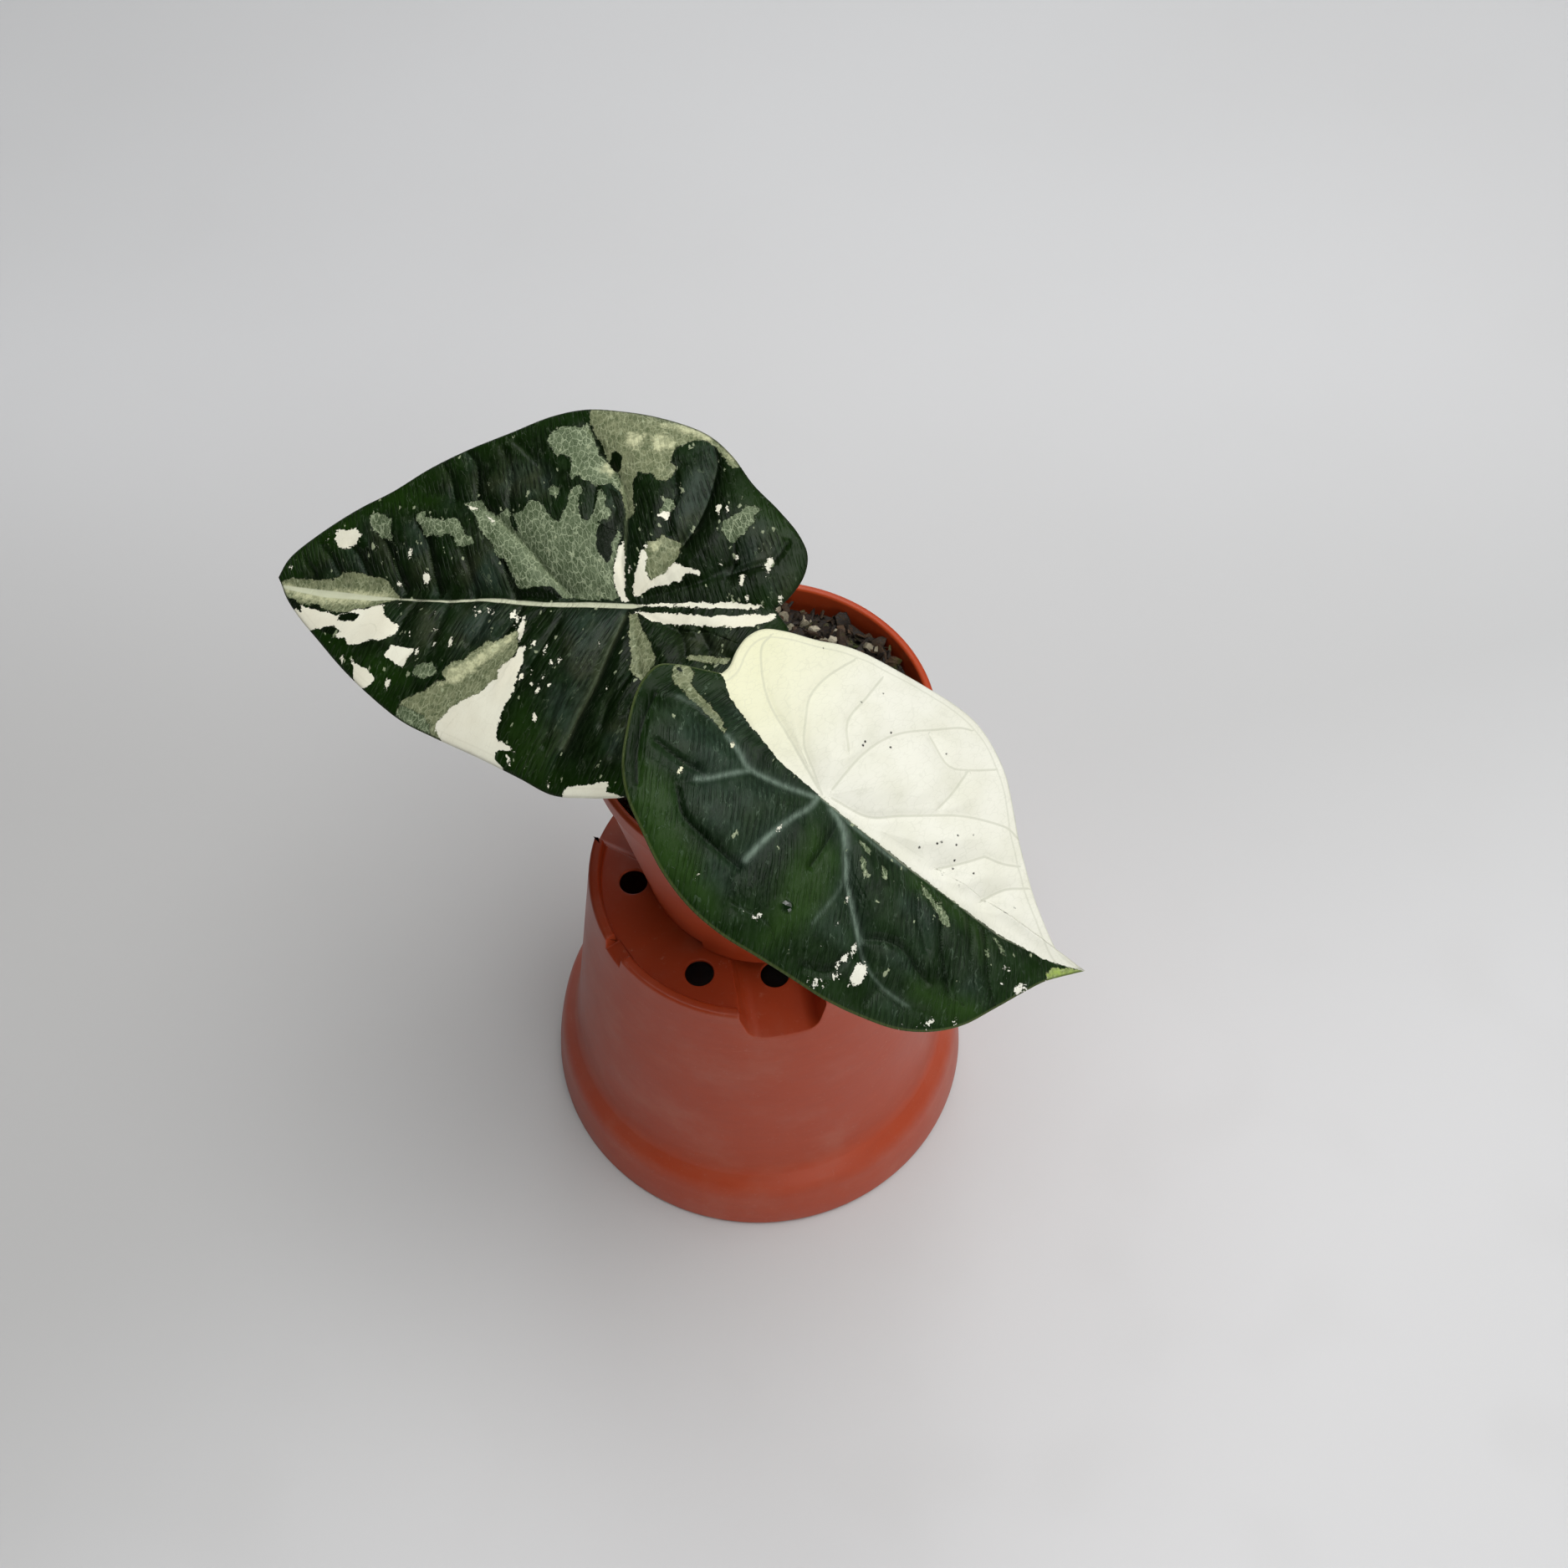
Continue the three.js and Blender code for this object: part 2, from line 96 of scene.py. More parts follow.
# %% Place the camera
IMAGE_WIDTH = 1875                           # pixels
FOCAL_LENGTH = 2300                          # pixels
SENSOR = 36
CAMERA_PLACE = Vector((0, -245.87, 532.01))  # from the foot of the axis, in mm
CAMERA_ANGLES = (32.129, 0.304, -2.355)      # about X, Y and Z, in degrees
bpy.ops.object.camera_add(
    location=AXIS + CAMERA_PLACE * MM,
    rotation=[math.radians(angle) for angle in CAMERA_ANGLES],
)
camera = bpy.context.object
camera.name = "camera"
camera.data.sensor_width = SENSOR
camera.data.lens = SENSOR * FOCAL_LENGTH / IMAGE_WIDTH
camera.data.clip_start = 0.01
bpy.context.scene.camera = camera
print("lens:", round(camera.data.lens, 2), "mm")

# %% [markdown]
# ## Writing materials down
# A material is a network of nodes. Adding and wiring them by hand takes three lines for each, so a small
# helper adds a node, fills or wires its sockets and gives back what it puts out. It has a short name for
# each kind of node that comes up often, such as times, between, mix and noise. Colours are written as a
# painter would read them off a screen, from 0 to 255, and turned into the linear values that light needs.

# %% A helper for node networks
def paint(red, green, blue):
    linear = [
        (c / 255) / 12.92 if c <= 10 else ((c / 255 + 0.055) / 1.055) ** 2.4
        for c in (red, green, blue)
    ]
    return (*linear, 1)


class Network:
    """Adds nodes to a tree; each call gives back the socket that the new node puts out."""

    def __init__(self, tree):
        self.tree = tree

    def fill(self, node, values):
        """Wires in what other nodes put out, and writes plain values into the socket itself."""
        for key, value in values.items():
            if isinstance(value, bpy.types.NodeSocket):
                self.tree.links.new(value, node.inputs[key])
            else:
                node.inputs[key].default_value = value

    def node(self, kind, inputs=None, output=0, **settings):
        made = self.tree.nodes.new(kind)
        for name, value in settings.items():
            setattr(made, name, value)
        self.fill(made, inputs or {})
        return made.outputs[output]

    def math(self, operation, a, b=0.0):
        return self.node("ShaderNodeMath", {0: a, 1: b}, operation=operation)

    def times(self, a, b):
        return self.math("MULTIPLY", a, b)

    def plus(self, a, b):
        return self.math("ADD", a, b)

    def larger(self, a, b):
        return self.math("MAXIMUM", a, b)

    def between(self, value, low, high, start=0.0, end=1.0):
        """0 to 1, or start to end, while value goes from low to high, with soft ends."""
        sockets = {"Value": value, "From Min": low, "From Max": high, "To Min": start, "To Max": end}
        return self.node("ShaderNodeMapRange", sockets, interpolation_type="SMOOTHSTEP")

    def mix(self, factor, a, b):
        return self.node("ShaderNodeMix", {0: factor, 6: a, 7: b}, 2, data_type="RGBA")

    def noise(self, point, scale, detail=3.0, rough=0.55, output=0):
        sockets = {"Vector": point, "Scale": scale, "Detail": detail, "Roughness": rough}
        return self.node("ShaderNodeTexNoise", sockets, output)

    def cells(self, point, scale, feature="F1", output=0):
        sockets = {"Vector": point, "Scale": scale}
        return self.node("ShaderNodeTexVoronoi", sockets, output, feature=feature)

    def stretch(self, point, size):
        return self.node("ShaderNodeMapping", {"Vector": point, "Scale": size})

    def shift(self, point, offset):
        return self.node("ShaderNodeVectorMath", {0: point, 1: offset}, operation="ADD")

    def value(self, name):
        """A number that the mesh stores at its points."""
        return self.node("ShaderNodeAttribute", output=2, attribute_name=name)

    def group(self, tree, inputs, output):
        return self.node("ShaderNodeGroup", inputs, output, node_tree=tree)

    def bump(self, strength, distance, height):
        sockets = {"Strength": strength, "Distance": distance, "Height": height}
        return self.node("ShaderNodeBump", sockets)


def new_group(name, inputs, outputs):
    """An empty node group, with its named inputs and outputs, ready to be filled."""
    tree = bpy.data.node_groups.new(name, "ShaderNodeTree")
    for label, default in inputs.items():
        kind = "NodeSocketVector" if default is None else "NodeSocketFloat"
        socket = tree.interface.new_socket(name=label, in_out="INPUT", socket_type=kind)
        if default is not None:
            socket.default_value = default
    for label, kind in outputs.items():
        tree.interface.new_socket(name=label, in_out="OUTPUT", socket_type=kind)
    given = tree.nodes.new("NodeGroupInput").outputs
    result = tree.nodes.new("NodeGroupOutput")
    return Network(tree), given, result


def new_material(name):
    """A material with its Principled shader, and the network to wire into it."""
    material = bpy.data.materials.new(name)
    material.use_nodes = True
    shader = material.node_tree.nodes["Principled BSDF"]
    return material, Network(material.node_tree), shader


print("a colour of 128 is", round(paint(128, 128, 128)[0], 3), "in light")

# %% [markdown]
# ## The studio
# The floor is a pale, faintly mottled sheet, large enough to fill the picture. Light is painted into its
# colour: it is a little lighter at the back, at the front right and towards the right, where more light
# falls. The light is soft: a broad panel above and one to the right, whose shadows lie under and left of the
# plant, with a low weak one in front, one behind and a dim even sky.

# %% Floor
bpy.ops.object.select_all(action="DESELECT")
FLOOR_DROP = 0.2         # mm under the rim, so that the two faces don't flicker
bpy.ops.mesh.primitive_plane_add(size=8, location=(0, 0, -FLOOR_DROP * MM))
floor = bpy.context.object
floor.name = "floor"
floor_material, net, shader = new_material("pale floor")
place = net.node("ShaderNodeTexCoord", output="Object")
across = net.node("ShaderNodeSeparateXYZ", {0: place})
back = across.node.outputs["Y"]
# Painted light: the floor's colour is lighter at the back, at the front right and towards the right,
# standing in for the light that falls there.
painted_light_behind = net.between(back, 0.1, 0.32)
corner = net.between(net.math("SUBTRACT", net.times(across, 0.5), back), -0.06, 0.16)
base = net.mix(net.between(across, -0.28, 0.12), paint(195, 195, 195), paint(203, 204, 205))
light = net.mix(net.larger(painted_light_behind, corner), base, paint(219, 220, 222))
mottle = net.mix(net.between(net.noise(place, 5, 1), 0.3, 0.7, 0, 0.2), light, paint(208, 208, 208))
# Darker blotches, stronger towards the front.
front_blotches = net.between(net.noise(place, 22, 1, 0.4), 0.5, 0.8, 0, 0.16)
front_blotches = net.times(front_blotches, net.between(back, 0.14, 0.04, 0.2, 1.0))
net.fill(shader, {"Base Color": net.mix(front_blotches, mottle, paint(196, 196, 195)), "Roughness": 0.8})
floor.data.materials.append(floor_material)
floor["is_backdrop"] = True
print("floor:", [round(side, 2) for side in floor.dimensions])

# %% Lights
MIDDLE = Vector((0, 0, 0.12))


def panel_light(name, position, size, power, colour):
    """A square soft light that looks at the middle of the plant."""
    turn = (MIDDLE - Vector(position)).to_track_quat("-Z", "Y").to_euler()
    bpy.ops.object.light_add(type="AREA", location=position, rotation=turn)
    light = bpy.context.object
    light.name = name
    light.data.size = size
    light.data.energy = power
    light.data.color = colour


panel_light("top light", (0.05, 0.05, 1.4), 1.0, 10.5, (1, 0.995, 0.985))
panel_light("right light", (0.55, -0.05, 1.1), 1.2, 7.5, (1, 0.99, 0.975))
panel_light("front light", (0.5, -1.15, 0.45), 0.7, 4, (1, 0.99, 0.98))
panel_light("back light", (0.1, 1.3, 0.55), 0.5, 2.2, (0.97, 0.985, 1))
world = bpy.data.worlds.new("soft sky")
world.use_nodes = True
sky = world.node_tree.nodes["Background"]
Network(world.node_tree).fill(sky, {"Color": (0.95, 0.975, 1, 1), "Strength": 0.05})
bpy.context.scene.world = world
bpy.context.scene.view_settings.view_transform = "Standard"

# %% [markdown]
# ## Turned plastic
# A nursery pot is moulded, and nearly all of it is round. By hand that is one disc, extruded upwards ring
# by ring and scaled as it goes, which closes itself at both ends. The corners of the profile are rounded
# first, because moulded plastic has no sharp edge.

# %% Helpers for selecting and editing
def only(piece):
    """Leaves edit mode and selects this object alone."""
    if bpy.context.object and bpy.context.object.mode != "OBJECT":
        bpy.ops.object.mode_set(mode="OBJECT")
    bpy.ops.object.select_all(action="DESELECT")
    piece.select_set(True)
    bpy.context.view_layer.objects.active = piece


def edit_all():
    """Opens the active piece in edit mode, with all of it selected."""
    bpy.ops.object.mode_set(mode="EDIT")
    bpy.ops.mesh.select_all(action="SELECT")


def merge_doubles(distance):
    """Makes one point of those of the active piece that lie within this distance, in mm."""
    edit_all()
    bpy.ops.mesh.remove_doubles(threshold=distance * MM)
    bpy.ops.object.mode_set(mode="OBJECT")


def apply_modifier(piece, kind, **settings):
    """Adds a modifier with these settings, and applies it."""
    modifier = piece.modifiers.new("applied at once", kind)
    for name, value in settings.items():
        setattr(modifier, name, value)
    bpy.ops.object.modifier_apply(modifier=modifier.name)


def settle(piece, place):
    """Moves the selected piece, and writes the move into its mesh."""
    piece.location = place
    bpy.ops.object.transform_apply()


# %% Helpers for turned bodies
ROUND_SIDES = 144


def rounded(corners, steps=4):
    """A profile of (radius, height, rounding) corners, with each rounding turned into a short curve."""
    points = []
    for index, (radius, height, rounding) in enumerate(corners):
        here = Vector((radius, height))
        if rounding == 0 or index in (0, len(corners) - 1):
            points.append(here)
            continue
        before = Vector(corners[index - 1][:2]) - here
        after = Vector(corners[index + 1][:2]) - here
        start = here + before.normalized() * min(rounding, before.length * 0.48)
        end = here + after.normalized() * min(rounding, after.length * 0.48)
        for step in range(steps + 1):
            t = step / steps
            points.append(start * (1 - t) ** 2 + here * 2 * t * (1 - t) + end * t ** 2)
    return points


def turned_solid(name, corners, sides=ROUND_SIDES):
    """A closed body of revolution, extruded from a disc along its profile; sizes in mm, about the origin."""
    profile = rounded(corners)
    bpy.ops.object.select_all(action="DESELECT")
    bpy.ops.mesh.primitive_circle_add(
        vertices=sides, radius=profile[0].x * MM, fill_type="NGON", location=(0, 0, profile[0].y * MM))
    piece = bpy.context.object
    piece.name = name
    bpy.ops.object.transform_apply()
    edit_all()
    for last, point in zip(profile, profile[1:]):
        rise = (point.y - last.y) * MM
        bpy.ops.mesh.extrude_region_move(TRANSFORM_OT_translate={"value": (0, 0, rise)})
        growth = point.x / last.x
        bpy.ops.transform.resize(value=(growth, growth, 1), center_override=(0, 0, point.y * MM))
    bpy.ops.mesh.select_all(action="SELECT")
    bpy.ops.mesh.normals_make_consistent(inside=False)
    bpy.ops.object.mode_set(mode="OBJECT")
    return piece


print("a rounded corner has", len(rounded([(0, 0, 0), (1, 0, 0.5), (1, 1, 0)])) - 2, "points")

# %% Helpers for cutting
ROUND_CUT_SIDES = 40


def cut_away(piece, tool):
    """Cuts the tool out of the piece, and removes the tool."""
    only(piece)
    apply_modifier(piece, "BOOLEAN", operation="DIFFERENCE", solver="EXACT", object=tool)
    bpy.data.objects.remove(tool)
    merge_doubles(0.01)


def bevel_edges(piece, wanted, width):
    """Rounds the sharp edges for which wanted(one end, other end), both in mm, is true."""
    only(piece)
    bpy.ops.object.mode_set(mode="EDIT")
    bpy.ops.mesh.select_mode(type="EDGE")
    bpy.ops.mesh.select_all(action="DESELECT")
    bpy.ops.mesh.edges_select_sharp(sharpness=math.radians(30))
    bpy.ops.object.mode_set(mode="OBJECT")
    points = [vertex.co / MM for vertex in piece.data.vertices]
    for edge in piece.data.edges:
        edge.select = edge.select and wanted(*[points[index] for index in edge.vertices])
    bpy.ops.object.mode_set(mode="EDIT")
    bpy.ops.mesh.bevel(offset=width * MM, segments=4, affect="EDGES", clamp_overlap=False)
    bpy.ops.mesh.select_mode(type="VERT")
    bpy.ops.object.mode_set(mode="OBJECT")


def block(name, size, centre, angle=0, flare=0, fillet=0):
    """A box for cutting, turned about Z; flare widens its top, and fillet rounds its long low edges."""
    bpy.ops.object.select_all(action="DESELECT")
    bpy.ops.mesh.primitive_cube_add(size=1, location=Vector(centre) * MM)
    piece = bpy.context.object
    piece.name = name
    piece.scale = Vector(size) * MM
    bpy.ops.object.transform_apply()
    for vertex in piece.data.vertices:
        if flare and vertex.co.z > centre[2] * MM:
            vertex.co.y += math.copysign(flare * MM, vertex.co.y)
    if fillet:
        bevel_edges(piece, lambda a, b: a.z + b.z < 2 * centre[2] - 1 and a.y * b.y > 0, fillet)
    only(piece)
    piece.rotation_euler.z = math.radians(angle)
    bpy.ops.object.transform_apply()
    return piece


def rod(name, radius, place, low, high, sides=ROUND_CUT_SIDES):
    """A round cutter; place is (distance from the axis, angle)."""
    distance, angle = place
    x = distance * math.cos(math.radians(angle))
    y = distance * math.sin(math.radians(angle))
    bpy.ops.object.select_all(action="DESELECT")
    bpy.ops.mesh.primitive_cylinder_add(
        vertices=sides, radius=radius * MM, depth=(high - low) * MM,
        location=Vector((x, y, (low + high) / 2)) * MM)
    piece = bpy.context.object
    piece.name = name
    bpy.ops.object.transform_apply()
    return piece


def joined(pieces):
    only(pieces[0])
    for piece in pieces:
        piece.select_set(True)
    bpy.ops.object.join()
    return bpy.context.object


def soften(piece, width, centre):
    """Rounds the edges that the cuts left, smooths the shading and moves the piece to its axis."""
    only(piece)
    merge_doubles(0.05)
    apply_modifier(
        piece, "BEVEL", width=width * MM, segments=2, limit_method="ANGLE",
        angle_limit=math.radians(38), use_clamp_overlap=False)
    bpy.ops.object.shade_smooth_by_angle(angle=math.radians(32))
    apply_modifier(piece, "WEIGHTED_NORMAL", keep_sharp=True)
    settle(piece, centre)


print("a cutter has", ROUND_CUT_SIDES, "sides")

# %% [markdown]
# ## The upturned pot
# It stands on its wide collar. Its wall rises to the foot ring, which has three gaps and three drain
# notches, and inside the ring lies the base plate with its holes. The plastic is thin all over, so the
# hollow is cut out first and the drain channels are left standing in it as troughs.

# %% Model the stand pot
STAND_HEIGHT = stand_high.z / MM
RIM_RADIUS = (stand_high.x - stand_low.x) / 2 / MM
COLLAR_HEIGHT = 20
COLLAR_RADIUS = 57
WALL_RADIUS = 53
FOOT_RADIUS = 42.6
FOOT_RING = 2.8
LIP = 2.1
WALL = 1.4
PLATE_TOP = STAND_HEIGHT - 3.8
CHANNEL_TOP = STAND_HEIGHT - 9.4
CHANNEL_INNER = FOOT_RADIUS - 31
CHANNEL_FILLET = 2.8
NOTCH_WIDTH = 16.8
NOTCH_FLARE = 3.2
NOTCH_ANGLES = (-81.8, 34, 150)
GAP_ANGLES = (-148.5, -28.5, 91.5)
GAP_SIZE = (6.4, 6)          # width and height
GAP_FLARE = 0.5
HOLE_RADIUS = 3.65
PLATE_HOLES = [(31.3, angle) for angle in (-179, -118, -44, 2, 76, 116)]
CHANNEL_HOLES = [(26.4, angle) for angle in (-80.5, 34, 150)]
SOFT_EDGE = 0.45
TAPER = (WALL_RADIUS - FOOT_RADIUS) / (STAND_HEIGHT - COLLAR_HEIGHT)


def stand_wall_at(height):
    return FOOT_RADIUS + (STAND_HEIGHT - height) * TAPER


def drains(name, spare, high):
    """The three drain channels as one cutter; spare is how much larger they are on each side."""
    inner = CHANNEL_INNER - spare
    low = CHANNEL_TOP - spare
    size = (RIM_RADIUS - inner, NOTCH_WIDTH + 2 * spare, high - low)
    centre = ((inner + RIM_RADIUS) / 2, 0, (low + high) / 2)
    fillet = CHANNEL_FILLET + spare
    return joined([block(name, size, centre, angle, NOTCH_FLARE, fillet) for angle in NOTCH_ANGLES])


def model_stand():
    plate_under = PLATE_TOP - WALL
    outside = turned_solid("stand_body", [
        (RIM_RADIUS - 3, 0, 0), (RIM_RADIUS, 0, 1.6), (RIM_RADIUS - 0.6, 6.5, 3),
        (COLLAR_RADIUS + 0.5, COLLAR_HEIGHT - 2.8, 3.2), (COLLAR_RADIUS - 2.2, COLLAR_HEIGHT + 0.6, 1.6),
        (stand_wall_at(COLLAR_HEIGHT + 3.6), COLLAR_HEIGHT + 3.6, 5),
        (stand_wall_at(CHANNEL_TOP - 1.5), CHANNEL_TOP - 1.5, 0), (FOOT_RADIUS, STAND_HEIGHT, 1.0),
        (FOOT_RADIUS - FOOT_RING, STAND_HEIGHT, 0.9), (FOOT_RADIUS - FOOT_RING, PLATE_TOP, 0.7),
        (FOOT_RADIUS - FOOT_RING - 3, PLATE_TOP, 0)])
    inside = turned_solid("stand_hollow", [
        (RIM_RADIUS - LIP + 0.12, -1, 0), (COLLAR_RADIUS - WALL, COLLAR_HEIGHT - WALL, 1),
        (WALL_RADIUS - WALL, COLLAR_HEIGHT - WALL, 1),
        (stand_wall_at(plate_under) - WALL, plate_under, 1.5), (20, plate_under, 0)])
    cut_away(inside, drains("trough", WALL, STAND_HEIGHT))
    cut_away(outside, inside)
    cut_away(outside, drains("channel", 0, STAND_HEIGHT + 1))
    gap_inner = FOOT_RADIUS - FOOT_RING - 1
    gap_size = (RIM_RADIUS - gap_inner, *GAP_SIZE)
    gap_centre = ((gap_inner + RIM_RADIUS) / 2, 0, PLATE_TOP + 2.9)
    cut_away(outside, joined([block("gap", gap_size, gap_centre, angle, GAP_FLARE) for angle in GAP_ANGLES]))
    holes = joined([
        rod("hole", HOLE_RADIUS, place, CHANNEL_TOP - WALL - 2, STAND_HEIGHT)
        for place in PLATE_HOLES + CHANNEL_HOLES])
    cut_away(outside, holes)
    soften(outside, SOFT_EDGE, AXIS)
    for vertex in outside.data.vertices:
        vertex.co.z = min(vertex.co.z, STAND_HEIGHT * MM)
    return outside


stand = model_stand()
stand.name = "upturned_pot"
sides = [round(side / MM, 1) for side in stand.dimensions]
print("stand:", len(stand.data.polygons), "faces,", sides, "mm")

# %% [markdown]
# ## The growing pot
# The plant's own pot is the same kind, one size down: a turned wall with a rolled lip, a raised base
# plate with six holes, and three notches in its foot ring. One profile from plate to plate makes all of
# it, because this wall has no troughs.

# %% Model the growing pot
POT_RADIUS = (pot_high.x - pot_low.x) / 2 / MM
POT_FOOT = 30.2
POT_WALL = 1.3
POT_LIP = 1.9
LIP_HEIGHT = 6
LIP_STEP = 0.8
POT_RECESS = 5
POT_RING = 2.2
POT_NOTCHES = (-139, -19, 101)
POT_NOTCH_SIZE = (8, 14.5, 9.2)
POT_HOLE_RADIUS = 3
POT_HOLES = [(19, angle) for angle in range(0, 360, 60)]
POT_TAPER = (POT_RADIUS - LIP_STEP - POT_FOOT) / (POT_RIM - POT_FLOOR - LIP_HEIGHT)


def pot_wall_at(height):
    return POT_FOOT + (height - POT_FLOOR) * POT_TAPER


def model_growing_pot():
    plate_under = POT_FLOOR + POT_RECESS
    plate_top = plate_under + POT_WALL
    lip_under = POT_RIM - LIP_HEIGHT
    ring_inner = POT_FOOT - POT_RING
    body = turned_solid("pot_body", [
        (12, plate_under, 0), (ring_inner, plate_under, 0.8), (ring_inner, POT_FLOOR, 0.4),
        (POT_FOOT, POT_FLOOR, 0.7), (pot_wall_at(POT_FLOOR + 6.2), POT_FLOOR + 6.2, 0),
        (pot_wall_at(lip_under), lip_under, 0.5), (POT_RADIUS - 0.15, lip_under + 0.1, 0.5),
        (POT_RADIUS, POT_RIM, 0.9), (POT_RADIUS - POT_LIP, POT_RIM, 0.9),
        (pot_wall_at(lip_under) - POT_WALL, lip_under - 2, 1.5),
        (pot_wall_at(plate_top) - POT_WALL, plate_top, 1.5), (12, plate_top, 0)])
    notches = joined([
        block("notch", POT_NOTCH_SIZE, (POT_FOOT + 0.6, 0, POT_FLOOR), angle, -1) for angle in POT_NOTCHES])
    cut_away(body, notches)
    holes = joined([
        rod("hole", POT_HOLE_RADIUS, place, POT_FLOOR - 1, plate_top + 4, 32) for place in POT_HOLES])
    cut_away(body, holes)
    soften(body, 0.35, POT_AXIS)
    return body


growing_pot = model_growing_pot()
growing_pot.name = "nursery_pot"
print("growing pot:", len(growing_pot.data.polygons), "faces")

# %% [markdown]
# ## Moulded terracotta-coloured plastic
# Both pots are satin polypropylene. Seen closely it has a fine grain, faint cloudy streaks that run round
# the pot, a little pale dust, and scuffs where it is handled. Dust and scuffs are one shared node group,
# so the two pots wear in the same way but with their own amounts.

# %% Plastic finish
def wear_group():
    """Pale dust and fine scuffs on plastic, from a point in metres."""
    net, given, result = new_group(
        "dust and scuffs", {"Point": None, "Dust": 0.3, "Scuffs": 0.3},
        {"Dust": "NodeSocketFloat", "Scuffs": "NodeSocketFloat"})
    cloud = net.between(net.noise(given["Point"], 45, 4, 0.6), 0.45, 0.8)
    specks = net.between(net.noise(given["Point"], 900, 2, 0.6), 0.62, 0.75)
    dust = net.times(net.plus(cloud, net.times(specks, 0.6)), given["Dust"])
    long_lines = net.stretch(given["Point"], (1, 1, 6))
    lines = net.between(net.noise(long_lines, 420, 3, 0.7), 0.6, 0.74)
    patches = net.between(net.noise(given["Point"], 60, 2), 0.52, 0.68)
    scuffs = net.times(net.times(lines, patches), given["Scuffs"])
    net.fill(result, {"Dust": dust, "Scuffs": scuffs})
    return net.tree


WEAR = wear_group()


def plastic_material(name, dust, scuffs):
    material, net, shader = new_material(name)
    point = net.node("ShaderNodeTexCoord", output="Object")
    cloud = net.noise(point, 28, 3)
    streaks = net.noise(net.stretch(point, (1, 1, 5)), 110, 3)
    colour = net.mix(cloud, paint(168, 60, 24), paint(178, 68, 30))
    colour = net.mix(net.between(streaks, 0.35, 0.7, 0, 0.25), colour, paint(158, 57, 26))
    dusty = net.group(WEAR, {"Point": point, "Dust": dust, "Scuffs": scuffs}, "Dust")
    scuffed = dusty.node.outputs["Scuffs"]
    colour = net.mix(dusty, colour, paint(196, 150, 132))
    colour = net.mix(scuffed, colour, paint(206, 142, 118))
    rough = net.plus(net.between(cloud, 0.3, 0.7, 0.36, 0.44), net.times(scuffed, 0.25))
    height = net.plus(net.times(net.noise(point, 2600, 2), 0.3), net.noise(point, 160, 2))
    net.fill(shader, {
        "Base Color": colour, "Roughness": rough, "Normal": net.bump(0.22, 0.00022, height),
        "IOR": 1.49, "Specular IOR Level": 0.4})
    return material


stand.data.materials.clear()
stand.data.materials.append(plastic_material("worn terracotta plastic", 0.16, 0.5))
growing_pot.data.materials.clear()
growing_pot.data.materials.append(plastic_material("clean terracotta plastic", 0.1, 0.3))
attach(stand, BODY)
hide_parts("stand_pot")
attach(growing_pot, BODY)
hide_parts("growing_pot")
print("plastic materials:", [item.name for item in bpy.data.materials if "plastic" in item.name])

# %% [markdown]
# ## The potting mix
# The mix is damp bark, fibre and coir with pale pumice and a few green bits of moss. A bed closes the pot
# from wall to wall: a cylinder whose top is inset again and again and then pushed up and down. On it lie
# loose grains. Six of them are shaped by hand from a subdivided cube, and then copied in their thousands,
# each turned, scaled and set half into the bed. All become one piece.

# %% The bed
rng = np.random.default_rng(11)
MIX_TOP = POT_RIM - 6.4
MIX_BOTTOM = POT_FLOOR + POT_RECESS + POT_WALL + 0.3
MIX_RISE = 0.075
MIX_BUMP = 0.9


def mix_height(x, y):
    """Height of the mix above its mean level, in mm, around the pot's axis."""
    coarse = math.sin(0.55 * x + 1.1) * math.cos(0.47 * y - 0.6) + math.sin(0.31 * (x + y) + 2.3)
    fine = math.sin(1.35 * x - 0.4) * math.sin(1.21 * y + 0.9)
    return MIX_RISE * x + MIX_BUMP * (0.5 * coarse + 0.6 * fine)


def model_bed():
    top_radius = pot_wall_at(MIX_TOP - 4) - POT_WALL - 0.45
    low_radius = pot_wall_at(MIX_BOTTOM) - POT_WALL - 0.45
    bed = turned_solid(
        "bed", [(low_radius, MIX_BOTTOM, 0), (top_radius, MIX_TOP - 5, 0), (top_radius, MIX_TOP, 0)], 96)
    bpy.ops.object.mode_set(mode="EDIT")
    bpy.ops.mesh.select_all(action="DESELECT")
    bpy.ops.object.mode_set(mode="OBJECT")
    top = max(bed.data.polygons, key=lambda face: face.center.z)
    top.select = True
    bpy.ops.object.mode_set(mode="EDIT")
    rings = 24
    for _ in range(rings):
        bpy.ops.mesh.inset(thickness=top_radius / (rings + 0.6) * MM)
    bpy.ops.object.mode_set(mode="OBJECT")
    for vertex in bed.data.vertices:
        if vertex.co.z > (MIX_TOP - 1) * MM:
            x = vertex.co.x / MM
            y = vertex.co.y / MM
            crumb = noise.noise(Vector((x, y, 3)) * 0.9) * 0.6
            vertex.co.z += (mix_height(x, y) + crumb - 0.5) * MM
    return bed


bed = model_bed()
print("bed:", len(bed.data.polygons), "faces")

# %% Helpers for meshes made of points
def new_piece(name, points, faces):
    """A piece made of points, in mm, and of faces, each a list of its corners."""
    mesh = bpy.data.meshes.new(name)
    mesh.from_pydata((np.asarray(points) * MM).tolist(), [], faces)
    piece = bpy.data.objects.new(name, mesh)
    bpy.context.collection.objects.link(piece)
    return piece


def store(piece, name, values):
    """Stores a number at each point of the piece, for its material to read."""
    layer = piece.data.attributes.new(name, "FLOAT", "POINT")
    layer.data.foreach_set("value", np.asarray(values, np.float32))


print("meshes so far:", len(bpy.data.meshes))

# %% The grains
GRAIN_SHAPES = 6
GRAIN_COUNT = 3400
FIBRE = 0.16             # each grain draws a number: up to here it is a fibre,
CHIP = 0.5               # up to here a flat chip, and up to the next a crumb;
PUMICE = 0.93            # above it, it is pumice


